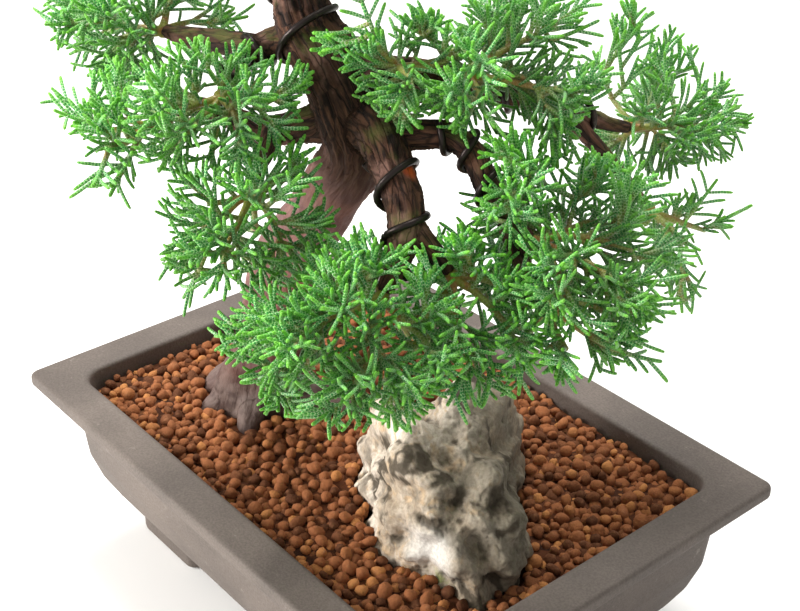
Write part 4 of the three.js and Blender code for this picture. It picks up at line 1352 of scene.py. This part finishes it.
def build_pad(pad):
    rng = np.random.default_rng(number_of(pad.name))
    bundle = Bundle()
    add_cords(bundle, pad, rng)
    add_stems(bundle, pad, rng)
    add_twigs(bundle, pad, rng)
    add_knob(bundle, pad)
    bundle.piece("sprays_" + pad.name, FOLIAGE, "foliage", ["foliage_" + pad.name])


for pad in pads:
    build_pad(pad)


# Wood.

# The size of the skin's cells, in metres, and the sides of the tubes under it.
VOXEL = 0.0009
TRUNK_SIDES = 28
LIMB_SIDES = 14
# The height up to which the trunk's bark is smooth, and the length of the change.
SMOOTH_TO = 236.0
SMOOTH_FADE = 34.0
# Hollows in the wood: the middle, the spread and the depth of each.
WOOD_HOLLOWS = [((-43, -36, 88), 7.0, 5.0)]
# The orange spot of a cut on the front branch.
SCAR = (66.6, -41.5, 233.2)
SCAR_SIZE = 2.8
# The bark's grain round and along a limb, and the height of its ridges, flakes and lumps.
GRAIN_ROUND = 0.42
GRAIN_ALONG = 0.075
RIDGES = 0.9
FLAKES = 0.8
LUMPS = 1.6


def tube_mesh(path, sides, flute=0.0):
    """The points and faces of a closed tube along a path, fluted by waves that wind round it."""
    points = []
    frames = framed(path)
    for i, (point, side, over, radius) in enumerate(frames):
        knot = i / SMOOTHNESS
        for k in range(sides):
            angle = 2 * math.pi * k / sides
            waves = math.sin(3 * angle + 0.55 * knot) + 0.6 * math.sin(5 * angle - 0.4 * knot)
            r = radius * (1 + flute * waves)
            points.append(move(move(point, side, r * math.cos(angle)), over, r * math.sin(angle)))
    return points, closed_faces(len(frames), sides)


def remeshed(points, faces, softening):
    """The points, faces and normals of one closed skin round everything given."""
    raw = add_object("raw", raw_mesh("raw", points, faces))
    step = raw.modifiers.new("skin", "REMESH")
    step.mode = "VOXEL"
    step.voxel_size = VOXEL
    soft = raw.modifiers.new("soft", "SMOOTH")
    soft.factor = 0.5
    soft.iterations = softening
    graph = bpy.context.evaluated_depsgraph_get()
    skin = raw.evaluated_get(graph).to_mesh()
    out = np.array([v.co for v in skin.vertices])
    sides = [tuple(p.vertices) for p in skin.polygons]
    normals = np.array([v.normal for v in skin.vertices])
    raw.evaluated_get(graph).to_mesh_clear()
    bpy.data.objects.remove(raw)
    return (out - ORIGIN) / MM, sides, normals


def nearest_limb(points):
    """For each point the limb it lies on, how far along it, its angle round it and the radius."""
    best = np.full(len(points), 1e9)
    out = np.zeros((len(points), 4))
    for number, path in enumerate([*LIMBS.values(), *ROOTS]):
        frames = framed(smooth(path))
        run = 0.0
        for (a, side, over, ra), (b, _, _, rb) in zip(frames, frames[1:]):
            a, b = np.array(a), np.array(b)
            long = np.linalg.norm(b - a)
            t = np.clip(((points - a) @ (b - a)) / long ** 2, 0, 1)
            away = points - (a + t[:, None] * (b - a))
            radius = ra + (rb - ra) * t
            gap = np.linalg.norm(away, axis=1) - radius
            hit = gap < best
            best[hit] = gap[hit]
            angle = np.arctan2(away @ np.array(over), away @ np.array(side))
            found = np.stack([np.full(len(points), number), run + t * long, angle, radius], axis=1)
            out[hit] = found[hit]
            run += long
    return out


def bark_lift(point, limb, length, angle, radius):
    """How far the bark stands out at a point: ridges along the limb, flakes on them and lumps."""
    grain = Vector((math.cos(angle) * radius * GRAIN_ROUND, math.sin(angle) * radius * GRAIN_ROUND,
                    length * GRAIN_ALONG + limb * 9))
    lump = Vector(point * 0.05) + Vector((limb, 0, 0))
    ridges = 1 - 2 * abs(noise.noise(grain)) - 0.5
    flakes = noise.noise(grain * 2.7)
    return ridges * RIDGES + flakes * FLAKES + noise.noise(lump) * LUMPS * min(1.0, radius / 9)


def build_wood():
    points, faces = [], []
    for path in [TRUNK, *ROOTS, *BRANCHES.values()]:
        is_trunk = path is TRUNK
        sides, flute = (TRUNK_SIDES, FLUTE) if is_trunk else (LIMB_SIDES, 0.0)
        more, rings = tube_mesh(smooth(path), sides, flute)
        faces += [tuple(i + len(points) for i in face) for face in rings]
        points += more
    skin, sides, normals = remeshed(points, faces, 3)
    limb, length, angle, radius = nearest_limb(skin).T
    height = skin[:, 2]
    on_trunk = (limb == 0) | (limb >= len(LIMBS))
    low = np.clip((SMOOTH_TO - height) / SMOOTH_FADE, 0, 1) * on_trunk
    lift = np.array([bark_lift(*one) for one in zip(skin, limb, length, angle, radius)])
    lift *= (1 - 0.62 * low) * np.clip(radius / 7, 0.3, 1)
    for middle, wide, deep in WOOD_HOLLOWS:
        lift -= deep * np.exp(-(np.linalg.norm(skin - np.array(middle), axis=1) / wide) ** 2)
    scar = np.exp(-(np.linalg.norm(skin - np.array(SCAR), axis=1) / SCAR_SIZE) ** 4)
    add_piece("bark", skin + normals * lift[:, None], sides, BARK, "bark", ["wood"], values={
        "around": angle * np.maximum(radius, 2.5), "length": length, "height": height,
        "limb": limb * 7.0, "low": low, "scar": scar})


build_wood()


# Wires.

# The steps in a turn, the sides, how far the wire sinks into the bark, and its rounded ends.
COIL_STEPS = 20
COIL_SIDES = 12
COIL_SINK = 0.1
COIL_END = 0.86
COIL_START = 0.3


def build_wires():
    for name in WIRES:
        path = np.array(wire_path(name, COIL_STEPS, -COIL_SINK))[:, :3]
        back = path[0] - (path[1] - path[0]) * 0.02
        lines = [np.concatenate([[back], path])]
        radii = np.full((1, len(path) + 1), WIRE_RADIUS)
        radii[0, 0] *= COIL_START
        radii[0, [1, -1]] *= COIL_END
        bundle = Bundle()
        bundle.add(lines, radii, COIL_SIDES, [0.0], 0.0, [0.0], tip=0.15, fresh=False)
        bundle.piece("coil_" + name, WIRE, "wire", ["wire_" + name])


build_wires()


# Stone.

# The hollows in the stone: the middle, the spread in each direction and the depth. They are darkened with
# painted shade too.
ROCK_HOLLOWS = [
    ((64, -32, 115), (4.2, 4, 3.2), 3.6),
    ((80, -42, 99.5), (8, 5, 2.6), 3.0),
    ((92, -19, 107), (5, 5, 7), 2.5),
    ((38, -27, 103), (6, 5, 6), 2.5),
]
# The white lump and its spread, and the bit of moss and its own.
ROCK_WHITE = (78.2, -42.2, 86.8)
ROCK_WHITE_SPREAD = (11.8, 11.8, 9.6)
ROCK_MOSS = (83.0, -41.0, 73.0)
ROCK_MOSS_SPREAD = (9, 9, 6)
# The way that the stone's side with painted shade, greyer and darker, faces: away from the key light.
ROCK_SHADED_SIDE = (0.75, 0.62, 0.2)
# How far the relief may go into the solid's surface and out of it.
ROCK_RELIEF = (-6.5, 1.1)


def rock_point(d):
    """The solid's surface in each direction, by the formula of the part's source."""
    x, y, z = d[:, 0], d[:, 1], d[:, 2]
    slabs = 0.09 * np.sin(5.1 * x + 2.3 * y + 1.1) + 0.07 * np.sin(6.3 * y - 3.7 * z + 0.4)
    crags = 0.05 * np.sin(11 * x + 7 * z) * np.sin(9 * y + 2) + 0.03 * np.sin(17 * z + 8 * x)
    big = (0.94 + slabs + crags) / np.power(x ** 4 + y ** 4 + z ** 4, 0.18)
    taper = 1 - 0.12 * np.maximum(0, z)
    rise = z * big * ROCK["half"][2]
    along = x * big * taper * ROCK["half"][0] - ROCK["lean"] * rise
    across = y * big * taper * ROCK["half"][1] * (1 + ROCK["narrow"] * x)
    cos, sin = math.cos(ROCK["turn"]), math.sin(ROCK["turn"])
    cx, cy, cz = ROCK["centre"]
    return np.stack([cx + along * cos - across * sin, cy + along * sin + across * cos, cz + rise], axis=1)


def rock_relief(point):
    """How far the stone's skin stands out at a point, and how deep in a crevice it lies, for the painted
    shade there.
    """
    v = Vector(point)
    wide = noise.fractal(v * 0.06, 0.9, 2.1, 4)
    bent = v * 0.072 + Vector((wide, -wide * 0.6, wide * 0.4)) * 0.5
    far = noise.voronoi(bent)[0]
    gap = far[1] - far[0]
    mid = noise.fractal(v * 0.16 + Vector((7, 3, 1)), 0.85, 2.1, 4)
    fine = noise.fractal(v * 0.55, 0.8, 2.2, 4)
    valley = math.exp(-(gap / 0.2) ** 2) * min(1.0, max(0.0, wide * 1.6 + 0.35))
    lift = wide * 1.5 + min(gap, 0.45) * 3.4 - 1.2 + mid * 1.5 + fine * 0.45
    return lift, min(1.0, valley + max(0.0, -mid * 1.1 - 0.1) * 0.9)


def far_from(points, middle, spread):
    """How far points lie from a middle, with its spread in each direction as 1."""
    return np.linalg.norm((points - np.array(middle)) / np.array(spread), axis=1)


def build_rock():
    """The stone of the solid with lumps, soft crevices and a fine rough skin."""
    ball, faces = icosphere(7)
    points = rock_point(normalised(ball))
    lift, pit = np.array([rock_relief(p) for p in points]).T
    out = normalised(points - np.array(ROCK["centre"]))
    # Each hollow sinks the skin and deepens the painted shade in it.
    for middle, spread, deep in ROCK_HOLLOWS:
        near = np.exp(-far_from(points, middle, spread) ** 2)
        lift -= deep * near
        pit += 1.3 * near
    white = np.exp(-far_from(points, ROCK_WHITE, ROCK_WHITE_SPREAD) ** 4)
    lift = lift * (1 - white) + white
    points = points + out * np.clip(lift, *ROCK_RELIEF)[:, None]
    points[:, 2] = np.maximum(points[:, 2], ROCK["bottom"])
    # The values for the material: painted shade in the crevices and on the side away from the key light,
    # the white lump and the moss.
    add_piece("craggy_stone", points, faces, STONE, "stone", ["rock"], values={
        "pit": np.clip(pit * (1 - 0.8 * white), 0, 1), "white": white,
        "moss": np.clip(1.25 - far_from(points, ROCK_MOSS, ROCK_MOSS_SPREAD), 0, 1),
        "weathered": np.clip(out @ np.array(ROCK_SHADED_SIDE) * 1.5 + 0.1, 0, 1)})
    return points


rock_skin = build_rock()


# Soil.

# The seeds of the grains' places and of their shapes, and the subdivisions of a grain's ball.
GRAIN_SEED = 77
SHAPE_SEED = 5
GRAIN_BALL = 2
# The pot's inside at the soil, as an inset from the rim and a corner radius.
SOIL_INSET = 17.7
SOIL_CORNER = 9
# Grains in rows: the step between them, their radii, and their shift aside and up or down.
ROW_STEP = 4.55
ROW_RADII = (2.1, 3.1)
ROW_SHIFT = (-1.2, 1.2)
ROW_DEPTH = -1.0
ROW_RISE = (-0.5, 0.7)
# Loose grains on top: the tries, the half size of their field, their radii and heights.
LOOSE_TRIES = 9000
LOOSE_HALF = (113, 76)
LOOSE_RADII = (1.7, 3.2)
LOOSE_DEPTH = 1.3
LOOSE_RISE = (-0.6, 0.8)
LOOSE_CLOSENESS = 0.86
# Directions round the stone in which its reach at the soil is measured.
DIRECTIONS = 72


def rounded_out(x, y, half_x, half_y, radius):
    """How far a point is outside a rounded rectangle; negative inside."""
    dx, dy = abs(x) - (half_x - radius), abs(y) - (half_y - radius)
    return math.hypot(max(dx, 0), max(dy, 0)) + min(max(dx, dy), 0) - radius


def direction_number(dx, dy):
    return ((np.arctan2(dy, dx) + math.pi) / (2 * math.pi) * (DIRECTIONS - 0.001)).astype(int)


def rock_reach():
    """How far the stone reaches from its centre in each direction, at the soil's height."""
    near = np.abs(rock_skin[:, 2] - 75) < 2.5
    dx, dy, _ = (rock_skin[near] - np.array(ROCK["centre"])).T
    reach = np.full(DIRECTIONS, 8.0)
    np.maximum.at(reach, direction_number(dx, dy), np.hypot(dx, dy))
    return reach


def grain_test():
    """A test of whether a grain fits between the pot, the stone and the wood."""
    reach = rock_reach()
    wood = []
    for path in [TRUNK[:3], *ROOTS]:
        wood += zip(smooth(path), smooth(path)[1:])

    def fits(x, y, z, r):
        inside = rounded_out(x, y, POT_HALF[0] - SOIL_INSET, POT_HALF[1] - SOIL_INSET, SOIL_CORNER)
        if inside > -r * 0.85:
            return False
        dx, dy = x - ROCK["centre"][0], y - ROCK["centre"][1]
        if math.hypot(dx, dy) < reach[direction_number(dx, dy)] + r * 0.35:
            return False
        for p, q in wood:
            away = segment_distance((x, y, z), (x, y, z + 0.01), p[:3], q[:3])
            if away < max(p[3], q[3]) + r * 0.45:
                return False
        return True

    return fits


def grains_in_rows(rng, fits):
    grains = []
    row = 0
    y = -POT_HALF[1]
    while y < POT_HALF[1]:
        x = -POT_HALF[0] + (ROW_STEP / 2 if row % 2 else 0)
        while x < POT_HALF[0]:
            r = rng.uniform(*ROW_RADII)
            px, py = x + rng.uniform(*ROW_SHIFT), y + rng.uniform(*ROW_SHIFT)
            z = SOIL_TOP + ROW_DEPTH + rng.uniform(*ROW_RISE)
            if fits(px, py, z, r):
                grains.append((px, py, z, r))
            x += ROW_STEP
        y += ROW_STEP * 0.866
        row += 1
    return grains


def loose_grains(rng, fits):
    grains = []
    for _ in range(LOOSE_TRIES):
        x, y = (rng.uniform(-half, half) for half in LOOSE_HALF)
        r = rng.uniform(*LOOSE_RADII)
        z = SOIL_TOP + LOOSE_DEPTH + rng.uniform(*LOOSE_RISE)
        if fits(x, y, z, r) and all(
                (x - g[0]) ** 2 + (y - g[1]) ** 2 > (LOOSE_CLOSENESS * (r + g[3])) ** 2 for g in grains):
            grains.append((x, y, z, r))
    return grains


def random_turns(stream, n):
    """Random turns as matrices, worked out from unit quaternions."""
    w, i, j, k = normalised(stream.normal(size=(n, 4))).T
    rows = [[1 - 2 * (j * j + k * k), 2 * (i * j - k * w), 2 * (i * k + j * w)],
            [2 * (i * j + k * w), 1 - 2 * (i * i + k * k), 2 * (j * k - i * w)],
            [2 * (i * k - j * w), 2 * (j * k + i * w), 1 - 2 * (i * i + j * j)]]
    return np.moveaxis(np.array(rows), 2, 0)


def build_soil():
    """Every grain is a ball, uneven in its three sizes, lumpy and turned at random."""
    rng = random.Random(GRAIN_SEED)
    fits = grain_test()
    grains = grains_in_rows(rng, fits)
    grain = np.array(grains + loose_grains(rng, fits))
    ball, faces = icosphere(GRAIN_BALL)
    stream = np.random.default_rng(SHAPE_SEED)
    n = len(grain)
    scale = stream.uniform(0.78, 1.18, (n, 3)) * grain[:, 3:4]
    scale[:, 2] *= 0.86
    waves = stream.normal(size=(n, 3, 3)) * 1.9
    phase = stream.uniform(0, 6.28, (n, 3))
    bumps = 1 + 0.085 * np.sin(np.einsum("vk,njk->nvj", ball, waves) * 1.4 + phase[:, None, :]).sum(axis=2)
    local = ball[None] * bumps[:, :, None] * scale[:, None, :]
    points = np.einsum("nvk,njk->nvj", local, random_turns(stream, n)) + grain[:, None, :3]
    every = (np.array(faces)[None] + (np.arange(n) * len(ball))[:, None, None]).reshape(-1, 3)
    chance = np.repeat(stream.random(n), len(ball))
    add_piece("soil_granules", points, every.tolist(), GRAINS, "soil", values={"chance": chance})


build_soil()
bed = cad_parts["soil"]
bed.data.materials.clear()
bed.data.materials.append(BED)


# Pot.

CORNER_STEPS = 12
SIDE_STEPS = 14
CORNERS = [(1, 1), (-1, 1), (-1, -1), (1, -1)]
# How far the profile's corners are rounded at most, and the steps of that.
ROUNDING = 1.2
ROUND_STEPS = 4
# The same for the outline of a foot, and the steps of the bevel under it.
FOOT_ROUNDING = 2.5
BEVEL_STEPS = 5
FOOT_SINK = 2.0
DRILL_SIDES = 40
DRILL_LENGTH = 30
# The angle from which an edge of the pot is shaded as sharp, in radians.
SHARP = 0.6


def rounded_corner(a, b, c, back, ahead):
    """The points of a bend at b, from a share of the way back to a to a share ahead to c."""
    curve = (b + (a - b) * back, b, b + (c - b) * ahead)
    return [on_bend(curve, i / ROUND_STEPS) for i in range(ROUND_STEPS + 1)]


def softened(rows):
    """The profile with each of its corners rounded a little."""
    def share(a, b):
        gap = np.linalg.norm((b - a)[:2])
        return min(ROUNDING, 0.42 * gap) / max(gap, 1e-6)

    rows = [np.array(r, float) for r in rows]
    out = [rows[0]]
    for a, b, c in zip(rows, rows[1:], rows[2:]):
        out += rounded_corner(a, b, c, share(a, b), share(b, c))
    return out + [rows[-1]]


def pot_ring(row):
    """A rounded rectangle of the pot: its corners' arcs, and points along its sides."""
    z, inset, radius = row
    half_x, half_y = POT_HALF[0] - inset, POT_HALF[1] - inset
    arcs = []
    for corner, (sx, sy) in enumerate(CORNERS):
        for step in range(CORNER_STEPS + 1):
            angle = (corner + step / CORNER_STEPS) * math.pi / 2
            arcs.append((sx * (half_x - radius) + radius * math.cos(angle),
                         sy * (half_y - radius) + radius * math.sin(angle)))
    ring = []
    for i, (x, y) in enumerate(arcs):
        ring.append((x, y, z))
        if i % (CORNER_STEPS + 1) == CORNER_STEPS:
            nx, ny = arcs[(i + 1) % len(arcs)]
            for k in range(1, SIDE_STEPS):
                t = k / SIDE_STEPS
                ring.append((x + (nx - x) * t, y + (ny - y) * t, z))
    return ring


def foot_outline():
    """The outline of the foot at the corner where x and y are positive, with rounded corners."""
    x, y = POT_HALF[0] - FOOT["inset"], POT_HALF[1] - FOOT["inset"]
    long, short, thick = FOOT["long"], FOOT["short"], FOOT["thick"]
    corner, nose, toe, heel = FOOT["corner"], FOOT["nose"], FOOT["toe"], FOOT["heel"]
    outline = np.array([
        (x, y - corner), (x - nose, y - nose), (x - corner, y), (x - long + toe, y),
        (x - long, y - corner), (x - long + heel, y - thick), (x - thick, y - thick),
        (x - thick, y - short + heel), (x - corner, y - short), (x, y - short + toe)], float)
    fine = []
    for a, b, c in zip(np.roll(outline, 1, axis=0), outline, np.roll(outline, -1, axis=0)):
        back, ahead = (min(0.45, FOOT_ROUNDING / np.linalg.norm(end - b)) for end in (a, c))
        fine += rounded_corner(a, b, c, back, ahead)
    return np.array(fine)


def foot_rings(sx, sy):
    """The rings of a foot from the ground up: a round bevel, then straight up into the pot."""
    outline = foot_outline()
    ahead = np.roll(outline, -1, axis=0) - np.roll(outline, 1, axis=0)
    inward = normalised(np.stack([-ahead[:, 1], ahead[:, 0]], axis=1))
    bevel = FOOT["bevel"]
    rings = []
    for k in range(BEVEL_STEPS + 1):
        angle = k / BEVEL_STEPS * math.pi / 2
        ring = outline + inward * bevel * (1 - math.sin(angle))
        rings.append([(x * sx, y * sy, bevel * (1 - math.cos(angle))) for x, y in ring])
    rings.append([(x * sx, y * sy, FOOT["height"] + FOOT_SINK) for x, y in outline])
    return rings


def drill(side):
    """A rod through the pot's floor, where a drain hole goes."""
    form = bmesh.new()
    bmesh.ops.create_cone(form, cap_ends=True, segments=DRILL_SIDES, radius1=DRAIN_RADIUS * MM,
                          radius2=DRAIN_RADIUS * MM, depth=DRILL_LENGTH * MM)
    middle = in_frame([(side * DRAIN_OFFSET, 0, DRILL_LENGTH / 2)])[0]
    bmesh.ops.translate(form, verts=form.verts, vec=Vector(middle))
    mesh = bpy.data.meshes.new("drill")
    form.to_mesh(mesh)
    form.free()
    return add_object("drill", mesh)


def drilled(body):
    """The mesh of a body with the drain holes cut. The body and the drills are removed."""
    drills = [drill(side) for side in (-1, 1)]
    for one in drills:
        cut = body.modifiers.new("hole", "BOOLEAN")
        cut.operation = "DIFFERENCE"
        cut.solver = "EXACT"
        cut.object = one
    graph = bpy.context.evaluated_depsgraph_get()
    mesh = bpy.data.meshes.new_from_object(body.evaluated_get(graph))
    for item in [body, *drills]:
        bpy.data.objects.remove(item)
    return mesh


def add_foot(form, rings):
    corners = [form.verts.new(Vector(p)) for ring in rings for p in in_frame(ring)]
    for face in closed_faces(len(rings), len(rings[0])):
        form.faces.new([corners[i] for i in face])


def build_pot():
    rings = [pot_ring(row) for row in softened(POT_PROFILE)]
    points = [p for ring in rings for p in ring]
    body = add_object("body", raw_mesh("body", points, closed_faces(len(rings), len(rings[0]))))
    form = bmesh.new()
    form.from_mesh(drilled(body))
    for sx, sy in CORNERS:
        add_foot(form, foot_rings(sx, sy))
    bmesh.ops.recalc_face_normals(form, faces=form.faces)
    for face in form.faces:
        face.smooth = True
    for edge in form.edges:
        if len(edge.link_faces) == 2 and edge.calc_face_angle(0.0) > SHARP:
            edge.smooth = False
    mesh = bpy.data.meshes.new("stoneware_pot")
    form.to_mesh(mesh)
    form.free()
    seat("stoneware_pot", mesh, CLAY, "clay", ["pot"])


build_pot()


# Drain screens.

# A screen's half width, the bars each way, where the first one lies, their spacing and half size.
SCREEN_HALF = 12.5
BARS = 11
FIRST_BAR = -12.0
BAR_STEP = 2.4
BAR_WIDE = 0.45
BAR_HIGH = 0.42
SCREEN_HEIGHT = FLOOR_TOP + GAP + 0.5
BOX_FACES = ((3, 2, 1, 0), (4, 5, 6, 7), (0, 1, 5, 4), (1, 2, 6, 5), (2, 3, 7, 6), (3, 0, 4, 7))


def box_points(x, y, z, half_x, half_y, half_z):
    return [(x + sx * half_x, y + sy * half_y, z + sz * half_z)
            for sz in (-1, 1) for sx, sy in ((-1, -1), (1, -1), (1, 1), (-1, 1))]


def build_screens():
    for name, side in (("left", -1), ("right", 1)):
        middle = side * DRAIN_OFFSET
        places = [FIRST_BAR + BAR_STEP * i for i in range(BARS)]
        bars = [(middle, place, SCREEN_HEIGHT, SCREEN_HALF, BAR_WIDE, BAR_HIGH) for place in places]
        bars += [(middle + place, 0, SCREEN_HEIGHT, BAR_WIDE, SCREEN_HALF, BAR_HIGH) for place in places]
        points = [p for bar in bars for p in box_points(*bar)]
        faces = [tuple(8 * i + k for k in face) for i in range(len(bars)) for face in BOX_FACES]
        add_piece("drain_net_" + name, points, faces, SCREEN, "screen", ["drain_mesh_" + name],
                  smooth_faces=False)


build_screens()


# Floor, light and camera. The floor, the lamps and the lens are in metres.

FLOOR_HALF = 3.0
FLOOR_DROP = 0.0002
WORLD_STRENGTH = 0.54
LIGHT_AIM = (0, 0, 0.14)
CAMERA_PLACE = (373.201, -302.258, 420.65)
CAMERA_AHEAD = (-0.66094, 0.55454, -0.50562)
CAMERA_RIGHT = (0.64225, 0.76649, 0.0011)
CAMERA_UP = (-0.38817, 0.32400, 0.86276)
LENS = 63.706
SENSOR = 36.0


def build_floor():
    corners = [(x * FLOOR_HALF, y * FLOOR_HALF, 0) for x, y in ((-1, -1), (1, -1), (1, 1), (-1, 1))]
    mesh = bpy.data.meshes.new("floor")
    mesh.from_pydata(corners, [], [(0, 1, 2, 3)])
    mesh.materials.append(FLOOR)
    floor = add_object("floor", mesh)
    floor.location = (0, 0, -FLOOR_DROP)


def area_light(name, place, wide, power, colour):
    data = bpy.data.lights.new(name, "AREA")
    data.shape = "SQUARE"
    data.size = wide
    data.energy = power
    data.color = colour
    lamp = add_object(name, data)
    lamp.location = place
    lamp.rotation_euler = (Vector(LIGHT_AIM) - Vector(place)).to_track_quat("-Z", "Y").to_euler()


def build_light():
    world = bpy.data.worlds.new("studio")
    world.use_nodes = True
    back = world.node_tree.nodes["Background"]
    back.inputs["Color"].default_value = (1.0, 1.0, 1.0, 1.0)
    back.inputs["Strength"].default_value = WORLD_STRENGTH
    bpy.context.scene.world = world
    area_light("key", (-0.55, -1.05, 0.5), 0.62, 23.5, (1.0, 0.985, 0.96))
    area_light("top", (-0.35, 0.25, 1.3), 0.6, 22.0, (1.0, 0.995, 0.98))
    view = bpy.context.scene.view_settings
    view.view_transform = "Standard"
    view.look = "None"


def build_camera():
    data = bpy.data.cameras.new("camera")
    data.sensor_fit = "HORIZONTAL"
    data.sensor_width = SENSOR
    data.lens = LENS
    data.clip_start = 0.01
    camera = add_object("camera", data)
    turn = Matrix((CAMERA_RIGHT, CAMERA_UP, mul(CAMERA_AHEAD, -1))).transposed().to_4x4()
    camera.matrix_world = Matrix.Translation(Vector(in_frame([CAMERA_PLACE])[0])) @ turn
    bpy.context.scene.camera = camera


build_floor()
build_light()
build_camera()
